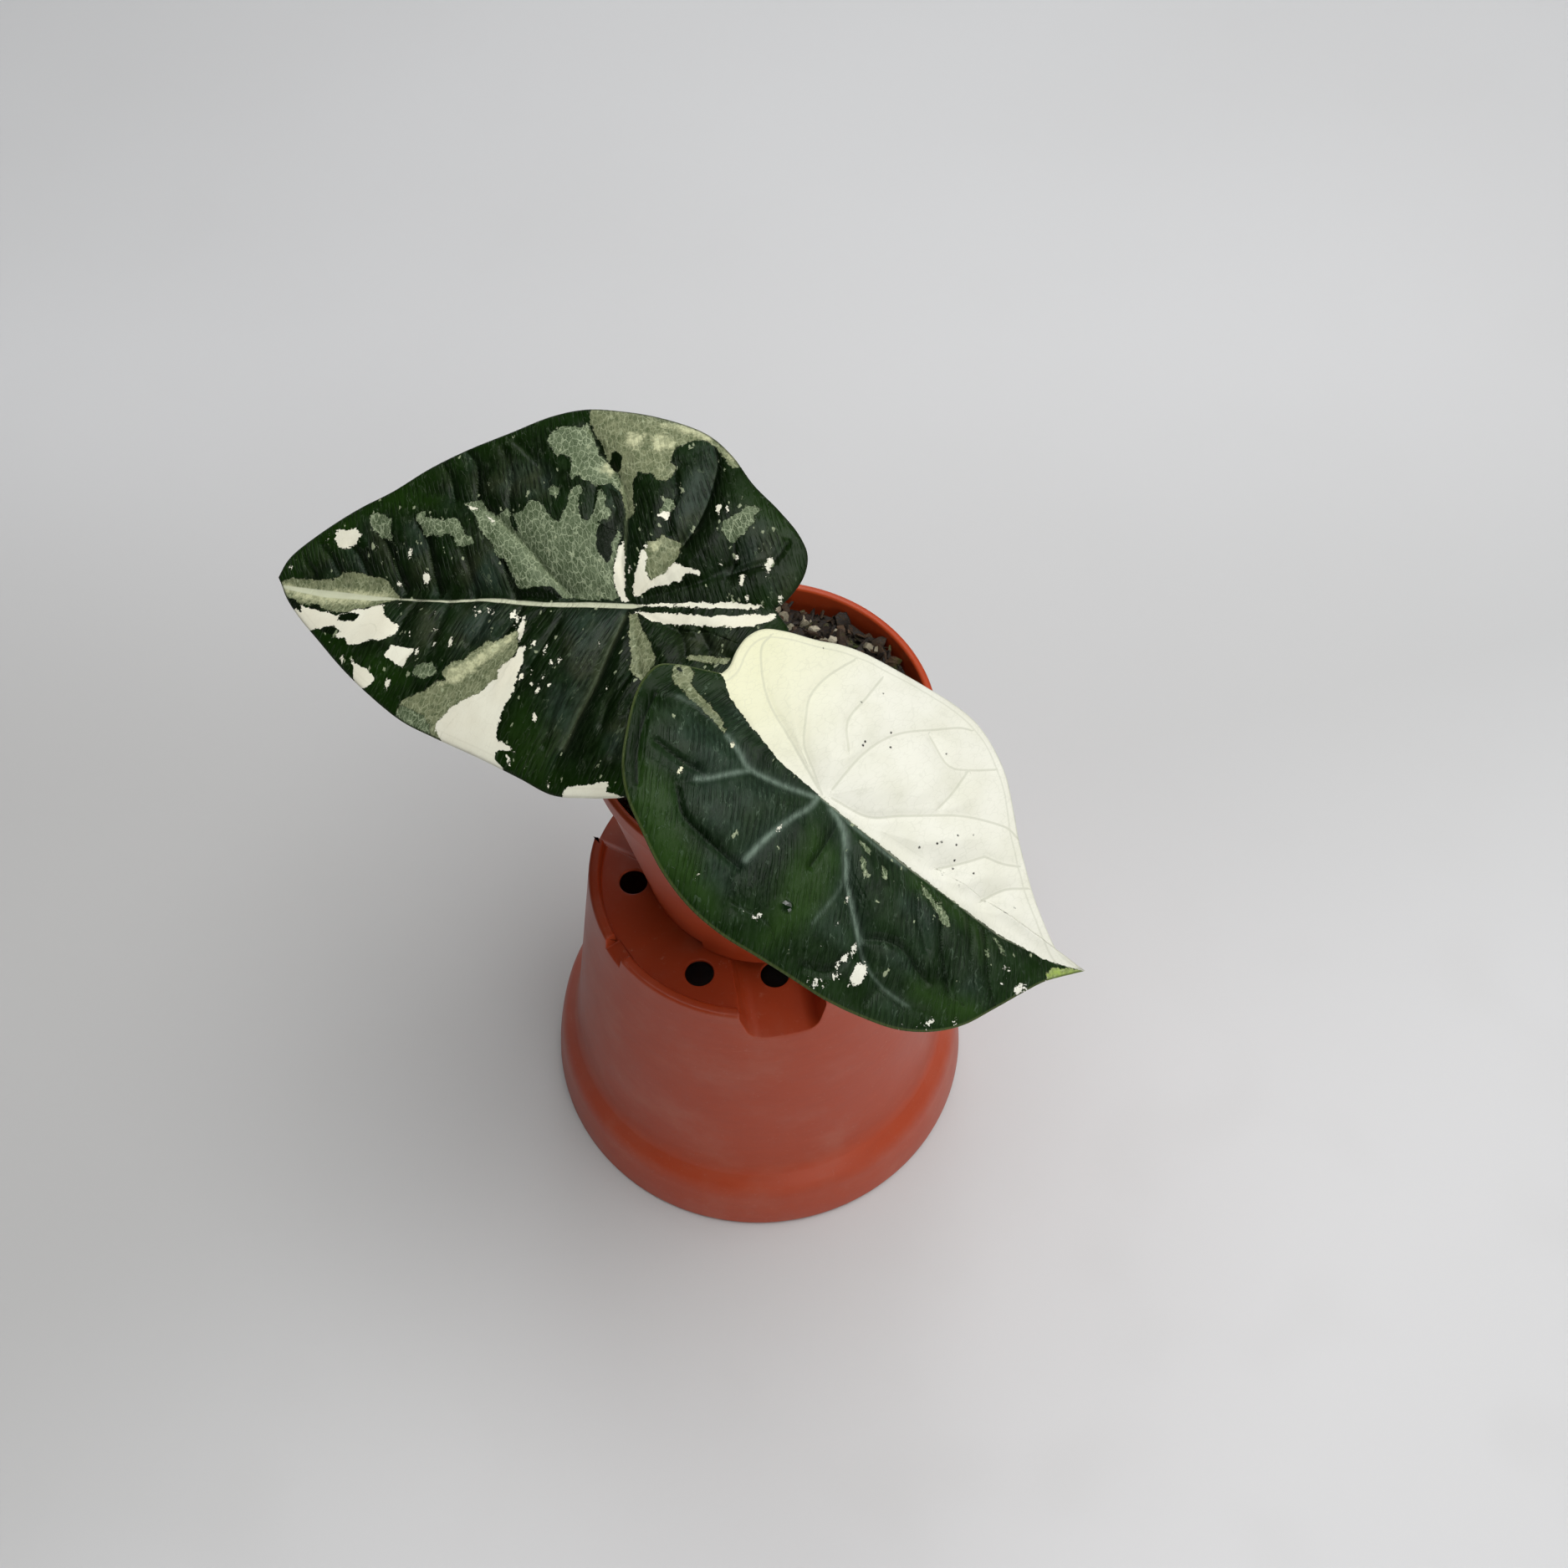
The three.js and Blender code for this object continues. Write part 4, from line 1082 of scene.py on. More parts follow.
# %% Lime tints and dark islands
MARBLED["lime"] = [
    [(-4, -34), (-2.5, -35.5), (-1, -34.5), (1.5, -35), (2.5, -38), (0.5, -39), (-2, -37.5)],
    [(4.5, -36), (6, -34.5), (8.5, -36), (8, -38.5), (4.6, -38.5)],
    [(10, -28.5), (13, -29.5), (12, -31.5), (9.5, -30)],
    [(-10, -38.3), (-4, -39.6), (2, -41.5), (-4, -41.8), (-11, -39.6)],
    [(-18.5, -33.5), (-16, -33.5), (-14, -36.5), (-16, -38)],
    [(24.6, 8.4), (26, 9), (29.5, 11.6), (33, 14), (36.8, 17), (39.6, 18.6), (40.5, 20.8), (37.5, 20.6),
     (34, 18), (30, 14.8), (26, 11.6)],
    [(-1.9, -12.4), (-3.3, -13.1), (-4.8, -14.5), (-3.6, -11)],
    [(58, 1.2), (63, 1), (70, 0.6), (78, 1), (88, -0.6), (86, 1.4), (78, 3.6), (70, 4), (63, 3.4)],
]
MARBLED["dark"] = [
    [(6.7, -8), (7.5, -8.4), (9.2, -10.9), (10, -14.7), (9.6, -16.3), (8.3, -16.3), (7.1, -18),
     (7.1, -20.5), (8.8, -23.8), (9.6, -25), (7.9, -24.7), (6.3, -22.2), (5.4, -18.8), (5.6, -15.9),
     (6.3, -12.2), (6, -9.3)],
    [(7.9, -29.9), (9.2, -28.8), (11.3, -31.3), (11, -33.8), (10.4, -34.7), (8.3, -32.6)],
    [(11, -31), (13.8, -33.4), (14.6, -34.7), (16.4, -37.2), (15.2, -37.4), (13.6, -35), (12.4, -33.2)],
    [(63.5, 6.5), (65, 8.2), (69.5, 8.2), (69.5, 6.8), (66.5, 6.1)],
    [(69, 10.3), (70, 11.5), (73.5, 10.8), (73, 9.5), (70, 9.6)],
    [(74, 5.8), (78, 5.5), (78.3, 4.2), (76, 4.3)],
    [(80, 6.5), (83, 4.9), (86.5, 2.4), (83, 3), (80.5, 4.8)],
    [(16.3, -0.3), (19, -2.6), (23, -2), (27, -1.2), (25.8, 0.4), (17, 0.5)],
    [(62, -5.2), (64.5, -4.6), (64, -5.8)],
]
print("lime and dark:", len(MARBLED["lime"]), "and", len(MARBLED["dark"]), "patches")

# %% Painted sheen, vivid places, creases and the midrib
# Patches where a silvery sheen is painted onto the green.
MARBLED["painted_sheen"] = [
    [(1.5, 2.5), (14, 2.5), (12.5, 9), (10.5, 17), (9, 25), (6, 18), (3.5, 10)],
    [(26, 3), (40, 3.5), (41, 9), (38, 14), (30, 9.5)],
    [(28, -1), (38, -1), (41, -5), (38, -8.5), (33.5, -7), (30, -4)],
    [(48, -2.5), (52, -3), (54, -9), (51, -10)],
    [(22, -22), (30, -22), (38, -24), (34, -31), (27, -30), (23, -27)],
    [(-12, -18), (-8.5, -16), (-6.5, -21), (-8, -30), (-12, -33)],
    [(-30, -11), (-24, -10), (-22, -16), (-26, -20), (-30, -16)],
    [(5.8, -9), (8.8, -11), (9, -17), (7.5, -24), (5.5, -18)],
    [(-34, -4), (-30, -3), (-29.5, -7), (-33, -9)],
    [(-4, 26), (0, 27), (0, 33), (-3, 33)],
    [(9, 19), (13.5, 20), (14.5, 30), (11, 31)],
    [(43, 4), (48, 4), (48.5, 13), (44.5, 13)],
    [(-22, 9.5), (-14, 9.5), (-12, 5), (-23, 5.5)],
]
MARBLED["vivid"] = [
    [(70, -8), (88, -2), (90, -5), (80, -13), (68, -18)], [(50, -18), (68, -17), (60, -24), (48, -22)],
    [(38, 3.5), (43, 3.5), (43, 12), (39, 13)], [(50, 17), (58, 15), (62, 16), (56, 22), (48, 23)],
    [(11, 31), (20, 22), (24, 30), (20, 38), (12, 38)], [(-33, -12), (-24, -22), (-20, -26), (-30, -22)],
]
# Creases: lines that the bump sinks and along which painted shade darkens the green.
MARBLED["crease"] = [
    [(5.3, -8), (4.6, -14), (5.3, -19)], [(-7.5, -15), (-5.5, -19), (-6.5, -24), (-4.5, -29)],
    [(46.5, -1), (47.8, -5.5), (49.8, -10.5)], [(40, -21), (40.6, -25.5), (42.4, -29.5)],
    [(28, -1), (30, -5), (33, -9), (36.5, -13)], [(-24, 7), (-18, 5), (-12, 5.2)],
]
MARBLED["pale_rib"] = [
    (-2.5, 0.4, 0.1), (0, 0.6, 0.55), (10, 1, 0.6), (20, 1.6, 0.5), (30, 1.3, 0.5), (36, 1.3, 0.3),
    (41, 2, 0.28), (48, 2.2, 0.2), (56, 2.1, 0.2), (62, 2.3, 0.6), (75, 1.6, 0.9), (88, 0, 0.4),
]
print("haze and vivid:", len(MARBLED["painted_sheen"]), "and", len(MARBLED["vivid"]), "patches")

# %% [markdown]
# ## The half-white leaf, drawn flat
# One half of this blade has no green at all. The border runs from the notch behind the stalk to the hub
# and on along the midrib to the tip. The green half has silver veins, a looped mint mark near its lobe and
# a few flecks, and the white half has faint grey veins and tiny dark specks.

# %% Outline and veins of the half-white leaf
HALF_WHITE = {
    "node": "leaf_right",
    "hub": (13.47, -53.94, 222),
    "turn": (6.5, 25.2, -27.8),
    "arch": {"tip": 62, "lobe": 38, "half": 34, "tip_drop": 5.5, "lobe_drop": 3.5,
             "valley": 2.4, "valley_width": 6, "margin_drop": 5.5},
    "quilt": 1.1,
    "quilt_width": 3.8,
    "notch": 21,
    "outline": [
        (64.5, 2.6), (60, 1.9), (57, 2.3), (50, 6), (45.8, 9), (38.8, 15.8), (35, 20.8), (30.4, 26.6),
        (25, 30.8), (20.4, 32.9), (15, 33.4), (8.8, 32.9), (1.2, 32), (-6.5, 30.8), (-11.2, 29.3),
        (-15.8, 27), (-21.9, 24.7), (-25.8, 22.4), (-27.7, 18.9), (-28.1, 15.1), (-27.7, 11.2),
        (-28.2, 9.3), (-31.2, 8.2), (-36.5, 6.2), (-39.2, 4.3), (-40, 0.5), (-39.5, -4.2), (-37.7, -10.3),
        (-35, -16.5), (-31.2, -21.1), (-25.8, -24.9), (-18.1, -29.5), (-10.4, -32.2), (-2.7, -33.2),
        (5, -33), (12.7, -32.8), (20.4, -32.6), (28.1, -31.5), (35.8, -29.5), (41.9, -26.1),
        (46.5, -21.8), (50.4, -15.7), (54.2, -9.5), (57.3, -4.9), (60.4, -1.5),
    ],
    "main_veins": [
        [(0, -0.7), (10, -2), (20, -2.8), (30, -3), (45, -2.7), (55, -1), (60, 0.5), (64, 2.4)],
        [(0, -0.7), (-6, -2.8), (-12, -4), (-15, -4), (-18, -2), (-24, 0.3), (-30, 1.2), (-34, 1)],
        [(-15, -4), (-17, -7), (-20, -10), (-23, -12.5), (-25, -14)],
        [(-0.3, -1), (-1, -4), (-3, -8), (-4.2, -11), (-5.5, -15), (-6.4, -19), (-6.3, -22), (-5.6, -26),
         (-4, -28.5)],
        [(3, -1.5), (6, -3), (9, -7), (12, -12), (16, -16), (20, -20), (24, -23.5), (30, -25), (36, -25),
         (42, -23.5)],
    ],
    # Ridges as on the marbled leaf: painted light on the left, painted shade on the right, width and path.
    "ridges": [
        (0.5, 0.8, 1.3, [(32, -7.5), (34, -11.5), (37, -15), (40.5, -18.5)]),
        (0.4, 0.5, 0.8, [(25.3, -6.5), (27, -9.5), (30, -12.5), (32, -14.5)]),
        (0.3, 0.7, 1.3, [(41.5, -4), (44, -8.5), (46.5, -12), (50.5, -15.5)]),
        (0.3, 0.4, 1.0, [(37.5, -4), (40.5, -9.5), (43, -13), (47, -16)]),
        (0.6, 0.7, 1.0, [(35.5, -19.5), (32, -18.7), (28, -17.2), (24, -17.8), (21, -19.3)]),
        (0.0, 1.0, 1.8, [(-36.5, -1), (-36, -7), (-34, -13), (-31, -18)]),
        (0.5, 0.8, 1.2, [(-22, -10), (-27, -10.3), (-32, -9.6)]),
        (0.4, 0.9, 1.4, [(-7, -21.4), (-11, -21.2), (-16, -20.4), (-21, -19), (-24, -15.5)]),
        (0.2, 0.8, 0.9, [(5.3, -4), (5, -9), (4.6, -14)]),
        (0.0, 0.9, 1.6, [(22, -22.8), (18.5, -18.5), (15, -15), (12, -11.5), (9.8, -8)]),
        (0.2, 0.6, 1.5, [(19.5, -25), (18, -28.5), (14, -30)]),
        (0.3, 0.6, 1.2, [(28, -25.5), (27.5, -29)]),
    ],
    "pale_veins": [
        (0.6, 0.45, [(0, -0.7), (8, -1.9), (16, -2.8), (21, -3)]),
        (0.8, 0.6, [(-0.5, -1.2), (-6, -2.8), (-12, -4), (-15, -4), (-18, -2), (-21, -0.6)]),
        (0.8, 0.55, [(-14, -4), (-17, -7), (-20, -10), (-22, -11.6)]),
        (0.75, 0.6, [(-0.4, -1), (-1, -4), (-3, -8), (-4.2, -11)]),
        (1.0, 0.6, [(-4, -10.5), (-4.7, -12.5), (-5.5, -15), (-6.4, -19.5)]),
        (0.9, 0.75, [(3, -1.6), (6, -3), (9, -7), (12, -12)]),
        (0.85, 0.55, [(12, -12), (16, -16), (20.5, -20.5)]),
        (0.4, 0.3, [(20.5, -20.5), (24, -23.5), (30, -25), (35, -25.1)]),
        (0.4, 0.3, [(11.7, -12.5), (11.5, -16), (10.8, -20), (10.4, -23)]),
        (0.35, 0.4, [(-24, 1), (-30, 1.6), (-33, 1.2)]),
    ],
}
HALF_WHITE["white_veins"] = [
    [(0, 0), (-4, 3), (-8, 6), (-10, 10), (-11.7, 15), (-11, 20), (-9, 25), (-7.5, 28)],
    [(-1, 0.5), (-10, 5), (-18, 9.5), (-22, 14), (-24.5, 19), (-24, 22)],
    [(1.2, 2), (1.7, 6), (2.7, 11), (5, 16.5), (8, 20.5), (13, 25), (18, 29.5), (20, 30.5)],
    [(2, 0.5), (10, 1.5), (15, 5), (20, 8.5), (25, 12), (30, 14.5), (36, 16.5), (38, 16)],
    [(38, 1), (41, 5.5), (45, 8.5)], [(13, 23), (19, 20), (23, 22), (28, 26)],
    [(23, 22), (22, 15), (21, 11)], [(0, 10), (-3, 15), (-2, 22), (-1, 28)],
    [(34, 8.5), (38, 9.5), (41, 11)], [(27, 1), (31, 5), (34, 8.5)],
]
print("the half-white leaf has", len(HALF_WHITE["outline"]), "outline points")

# %% Markings of the half-white leaf
TIP_PATCH = [(58, -1), (61, 0.8), (66, 4), (67, 1), (62, -3), (58.5, -5), (57, -3.4)]
HALF_WHITE["white"] = [[
    (-30, 9.6), (-27.8, 8.7), (-25, 5.8), (-20, 3.6), (-14.2, 1.7), (-10.4, 0.5), (-0.4, -0.5),
    (10, -1.6), (20, -2.2), (30, -2.6), (45, -2.5), (55, -0.8), (60, 0.8), (66, 3), (70, 30),
    (20, 60), (-40, 40),
]]
HALF_WHITE["white_dots"] = [
    (23.4, -25.6, 1.3), (22.6, -24.6, 0.5), (19.9, -21.5, 0.5), (20.4, -22.8, 0.55),
    (19.2, -24.4, 0.5), (18.8, -26.2, 0.45), (19.4, -28.6, 0.4), (20.4, -27.9, 0.35),
    (1.2, -27.4, 0.35), (0.6, -28, 0.25), (-1.6, -27.6, 0.2), (17, -31.3, 0.4), (15.6, -31.6, 0.3),
    (18.8, -31.2, 0.3), (40.4, -25.2, 0.5), (38.8, -26.6, 0.35), (44.6, -22.6, 0.35),
    (52.7, -9.8, 0.7), (54.4, -9, 0.4), (49.4, -8.2, 0.3), (48.2, -8.4, 0.3), (49.3, -11, 0.25),
    (57.8, -5, 0.45), (14.2, -25.6, 0.25), (12, -20.4, 0.2), (14.6, -20.6, 0.25), (-19.4, -1.6, 0.35),
    (-25.4, -11.8, 0.4), (-12.4, -27, 0.25), (-4.1, -10.8, 0.35), (14.2, -15, 0.3), (36, -29.6, 0.3),
]
HALF_WHITE["mint"] = [
    [(25.8, -4.1), (27.5, -4.3), (30, -5.6), (30.4, -4.6), (31.4, -5.8), (33.4, -6.3), (34, -7.6),
     (33.4, -8.8), (31.5, -7.8), (29.4, -6.9), (28, -5.6), (26.6, -5.9), (26, -5)],
    [(10.3, -3.6), (12, -4), (13.5, -4.3), (13.6, -5.6), (12.6, -5.4), (11.4, -4.6), (10.4, -4.8)],
    [(12.2, -6.4), (13.2, -7), (14.6, -9), (13.8, -9.2), (12.6, -7.8)],
    [(16.5, -5.6), (17.6, -5.9), (18.8, -7.6), (18.2, -8.3), (17, -7.4)],
    [(43.2, -3.7), (45, -3.8), (46.8, -5), (47.2, -6), (46.2, -5.7), (44.8, -4.6), (43.4, -4.3)],
    [(43.2, -6.6), (44.6, -8.2), (44, -8.6), (43, -7.6)],
]
HALF_WHITE["olive"] = [
    [(-36.9, 5.4), (-36, 6.9), (-34.2, 7.2), (-32.6, 6.2), (-32.4, 4.4), (-30, 3.3), (-27, 2.5),
     (-24, 1.8), (-22, 0.6), (-21.6, -0.6), (-24, 0.4), (-28, 1.4), (-31, 1.8), (-33.4, 2.6),
     (-35.6, 3)],
    TIP_PATCH,
]
HALF_WHITE["lime"] = [TIP_PATCH]
HALF_WHITE["dark"] = [[(-36.3, 5.2), (-35.6, 6.2), (-34.6, 5.6), (-35, 4.7)]]
print("flecks of white:", len(HALF_WHITE["white_dots"]), "dots")

# %% Painted sheen, vivid places, creases and specks
# Patches where a silvery sheen is painted onto the green.
HALF_WHITE["painted_sheen"] = [
    [(-15, -5), (-18, -2.5), (-24, -0.5), (-33, 0.5), (-35, -4), (-32, -9), (-22, -9.5), (-17, -7)],
    [(-6, -4.5), (-12, -6), (-20, -11), (-22, -16), (-18, -18.5), (-8, -18.5), (-7, -14), (-5.5, -9)],
    [(22, -7), (25, -7), (31, -8), (33.5, -13), (33, -16), (26, -14), (22, -11)],
    [(36, -9), (42, -11), (48, -16), (42, -17.5), (38, -14)],
    [(-13, -22.5), (-8, -22.5), (-6.5, -26), (-11, -27)],
    [(27, -26), (36, -26), (37, -28.5), (29, -29)],
    [(11, -14), (18, -19), (18, -23), (11.5, -23)],
    [(-30, 5), (-24, 6), (-12, 2.5), (-20, 1.2)],
    [(-31, -10.5), (-24, -10.5), (-25.5, -12.5), (-30, -12.5)],
    [(22, -18.3), (28, -17.6), (34, -19.6), (30, -21), (24, -20)],
]
HALF_WHITE["vivid"] = [
    [(1, -7), (4, -8), (9.5, -8), (10.5, -22), (8, -27), (5, -31), (3, -26), (1, -18)],
    [(32, -20.5), (40, -18.8), (47, -16.5), (49, -19.5), (43, -23), (34, -23.5)],
    [(-33, -14), (-25, -14.5), (-22, -20), (-12, -25.5), (-6, -31), (-20, -29), (-30, -22)],
    [(22, -3.5), (40, -3.5), (44, -6), (43, -9), (38, -5.5), (24, -5.5)],
]
# Creases: lines that the bump sinks and along which painted shade darkens the green.
HALF_WHITE["crease"] = [
    [(9.8, -7.6), (12.3, -11.3), (15.4, -14.6), (18.4, -17.6), (21, -21)],
    [(11.2, -8.6), (13.6, -12), (17.2, -14.6)], [(12, -10.2), (14.4, -11.6), (16.6, -13)],
    [(-4.6, -9.5), (-5.2, -7), (-2.4, -5)], [(-3.6, -8), (-3, -6)],
    [(5.3, -4.5), (5.1, -9), (4.8, -13)],
    [(32.6, -8.6), (34.3, -12.4), (37, -15.6), (40, -18.6), (45, -19)],
    [(25.5, -7), (27.3, -10.2), (31.6, -14.3)],
    [(42, -4.6), (44.3, -8.8), (46.8, -12.2), (50.3, -15.4)],
    [(-33, -9.8), (-28, -10.2), (-23.5, -9.8)],
    [(-6.4, -21), (-6.2, -24), (-5.2, -27.2), (-1, -27.3), (3.5, -27.5), (7, -30)],
    [(-6.6, -21.4), (-10, -21.7), (-14, -20.6), (-20, -19.2), (-24, -16)],
    [(-31, -13), (-26, -13.4), (-22, -17)], [(10, -24.5), (12.5, -28.5), (17, -30)],
    [(-14, -5.2), (-9, -4.6), (-4, -3.6)], [(24, -24.4), (30, -26), (36, -26)],
    [(-3.6, 0.2), (-10, 1.2), (-20, 3.4), (-27, 6.4)], [(16.4, -24), (18, -27), (20.5, -29.5)],
]
HALF_WHITE["specks"] = [
    (-14, 26), (-2.5, 20.5), (5.5, 18.5), (6.7, 15.5), (1.8, 13.4), (1.8, 12.5), (17.4, 21.8),
    (0.4, 24.9), (29.6, 10.4), (24, 4.5), (21.4, 1.9), (29, 4.2), (29.6, 2.8), (33.6, 4.2),
    (44.5, 3.6), (26.9, 8.3), (27.5, 6.6), (28.3, 0.6), (32.3, 0.5), (24.6, 5.2),
]
HALF_WHITE["drop"] = (4.6, -23, 1.1)
HALF_WHITE["pale_rib"] = [(0, -0.7, 0.2), (20, -2.4, 0.25), (45, -2.7, 0.2), (60, 0.5, 0.1)]
print("specks:", len(HALF_WHITE["specks"]))

# %% [markdown]
# ## Raising a blade
# The blade is a wheel of spokes from the hub to the outline, crossed by rings. Its height adds four
# things: an arch along and across, a valley at the midrib, a soft quilt between the sunken veins, and fine
# wrinkles. One leaf has a drop of water as well. The underside follows at the blade's thickness, with the
# main veins standing out as ribs. A grid by operators could not put each point where the outline and the
# relief want it, so the points are worked out, and the mesh is made from them at once.

# %% Blade shape
SPOKES = 380
RINGS = 104
THICKNESS = 0.62
GRAIN_SLANT = 0.45          # how far the wrinkles lean towards the tip
VEIN_DEPTH = 0.42           # of the groove along a main vein, in mm
FOLD_DEPTH = 0.24           # of the groove along a ridge
PANEL_SWELL = 0.5           # of the tissue between the ridges
WRINKLE_HEIGHT = 0.1
DROP_HEIGHT = 0.55
RIB_HEIGHT = 0.75           # of the main veins on the underside


def blade_rim(leaf):
    corners = [0, leaf["notch"], len(leaf["outline"])]
    outline = leaf["outline"] + leaf["outline"][:1]
    arcs = [curve_through(outline[a:b + 1], 0.4) for a, b in zip(corners, corners[1:])]
    lengths = [np.linalg.norm(np.diff(arc, axis=0), axis=1).sum() for arc in arcs]
    counts = [round(SPOKES * length / sum(lengths)) for length in lengths]
    counts[-1] = SPOKES - counts[0]
    return np.vstack([evenly(arc, count) for arc, count in zip(arcs, counts)])


def smooth_noise(places, scale, seed):
    """Soft noise from -1 to 1 at each place; scale is the size of its lumps in mm."""
    return np.array([noise.noise(Vector((s / scale, t / scale, seed))) for s, t in places]) * 1.6


def blade_relief(leaf, places, fade):
    """Height of the upper face in mm, and the distances that the material uses too."""
    s, t = places.T
    arch = leaf["arch"]
    to_tip = arch["tip_drop"] * (s / arch["tip"]) ** 2
    to_lobe = arch["lobe_drop"] * (s / arch["lobe"]) ** 2
    along = -np.where(s > 0, to_tip, to_lobe)
    off_middle = np.hypot(t, 1.6) - 1.6
    across = arch["valley"] * (1 - np.exp(-off_middle / arch["valley_width"]))
    across -= arch["margin_drop"] * (np.abs(t) / arch["half"]) ** 2.2
    main = [curve_through(path, 1.5) for path in leaf["main_veins"] + leaf.get("white_veins", [])]
    side = [curve_through(path, 1.5) for *_, path in leaf["ridges"]]
    near_main, signed_main = nearest_lines(places, main)
    near_side = nearest_lines(places, side)[0]
    bulge = 1 - np.exp(-(near_main / leaf["quilt_width"]) ** 2)
    panels = 1 - np.exp(-(near_side / 2.2) ** 2)
    leaning = np.column_stack([s - GRAIN_SLANT * np.abs(t), 0.35 * (np.abs(t) + GRAIN_SLANT * s)])
    height = along + across + leaf["quilt"] * fade * bulge + PANEL_SWELL * fade * (panels - 0.5)
    height -= VEIN_DEPTH * np.exp(-(near_main / 0.8) ** 2) * fade
    height -= FOLD_DEPTH * np.exp(-(near_side / 0.55) ** 2) * fade
    height += WRINKLE_HEIGHT * smooth_noise(leaning, 2.1, 4.2) * fade
    if "drop" in leaf:
        drop_s, drop_t, radius = leaf["drop"]
        away = np.hypot((s - drop_s) * 0.8, t - drop_t) / radius
        height += DROP_HEIGHT * np.sqrt(np.clip(1 - away ** 2, 0, 1))
    return height, near_main, signed_main, near_side


print("a blade has", 2 * (SPOKES * RINGS * 2 - SPOKES) + 4 * SPOKES, "triangles")

# %% Ridges, the midrib and the turn of a blade
def ridge_sides(places, ridges):
    """The side of the strongest ridge at each place, plus where it is lit, and the painted light and painted
    shade that it gives there.
    """
    signed = np.full(len(places), 9.0)
    lit, dark, best = np.zeros((3, len(places)))
    for shine, shadow, width, path in ridges:
        plain, sided = line_distance(places, curve_through(path, 1.5))
        reach = np.exp(-plain / width)
        wins = reach > best
        signed = np.where(wins, sided, signed)
        lit = np.where(wins, shine * reach, lit)
        dark = np.where(wins, shadow * reach, dark)
        best = np.maximum(best, reach)
    return signed, lit, dark


def leaf_turn(leaf):
    """The rotation from the blade's own plane to where it hangs."""
    return Euler([math.radians(angle) for angle in leaf["turn"]], "XYZ").to_matrix()


def rib_distance(places, rib):
    """How far inside the pale band along the midrib each place lies."""
    s, middle, half = np.array(rib).T
    band = np.interp(places[:, 0], s, half, left=-1, right=-1)
    return band - np.abs(places[:, 1] - np.interp(places[:, 0], s, middle))


print("the marbled blade is turned by", MARBLED["turn"], "degrees")

# %% [markdown]
# The colours need to know where each place of the leaf lies, so the mesh stores it: a flat map in
# millimetres, a second map that follows the lean of the wrinkles, and for each kind of marking the
# distance into it. It also stores how far the rim, the veins and the creases are, and which side of a ridge
# a place is on. A distance blends evenly between two points of the mesh, so an edge stays sharp in the
# material even though the mesh is coarser than the edge.

# %% Blade mesh
def blade_faces():
    """Faces of the closed blade: the upper side, a rim point between the sides, and the lower side."""
    ring = np.arange(SPOKES)
    following = (ring + 1) % SPOKES
    first = 1 + np.arange(RINGS - 1)[:, None] * SPOKES
    quads = [first + ring, first + SPOKES + ring, first + SPOKES + following, first + following]
    upper = np.stack(quads, 2).reshape(-1, 4)
    side = 1 + RINGS * SPOKES
    fan = [(0, 1 + a, 1 + b) for a, b in zip(ring, following)]
    faces = upper.tolist() + (upper + side)[:, ::-1].tolist() + fan
    faces += [(side, side + 1 + b, side + 1 + a) for a, b in zip(ring, following)]
    edge = 1 + (RINGS - 1) * SPOKES
    middle = 2 * side
    for a, b in zip(ring.tolist(), following.tolist()):
        faces.append((edge + a, middle + a, middle + b, edge + b))
        faces.append((middle + a, side + edge + a, side + edge + b, middle + b))
    return faces


def leaf_distances(leaf, places, rim, near_main, signed_main, near_side):
    """All that the material has to know about each place, by the name under which the mesh stores it."""
    ridge, lit, shade = ridge_sides(places, leaf["ridges"])
    creases = [curve_through(path, 1) for path in leaf["crease"]]
    pale_veins = [
        (shine, line_distance(places, curve_through(path, 1))[0] / width)
        for shine, width, path in leaf["pale_veins"]]
    marks = ("white", "mint", "olive", "lime", "dark")
    stored = {name: patches_distance(places, leaf[name]) for name in marks}
    # Soft-edged masks of the patches of painted sheen and of the vivid patches.
    for name in ("painted_sheen", "vivid"):
        stored[name] = np.clip((patches_distance(places, leaf[name]) + 2) / 4, 0, 1)
    stored |= {
        "spot": patches_distance(places, [], leaf["white_dots"], 0.5) - 0.08,
        "speck": patches_distance(places, [], [(*spot, 0.28) for spot in leaf.get("specks", [])]),
        "drop": patches_distance(places, [], [leaf["drop"]] if "drop" in leaf else []),
        # Painted light and painted shade beside each ridge, and which side of it a place is on.
        "ridge": ridge,
        "lit": lit,
        "shade": shade,
        "pale_vein": np.max([shine * np.exp(-away ** 2) for shine, away in pale_veins], 0),
        "glow": np.max([shine * np.exp(-away / 3) for shine, away in pale_veins], 0),
        "crease": nearest_lines(places, creases)[0],
        "vein": near_main,
        "vein_side": signed_main,
        "side_vein": near_side,
        "margin": line_distance(places, np.vstack([rim, rim[:1]]))[0],
        "rib": rib_distance(places, leaf["pale_rib"]),
    }
    return stored


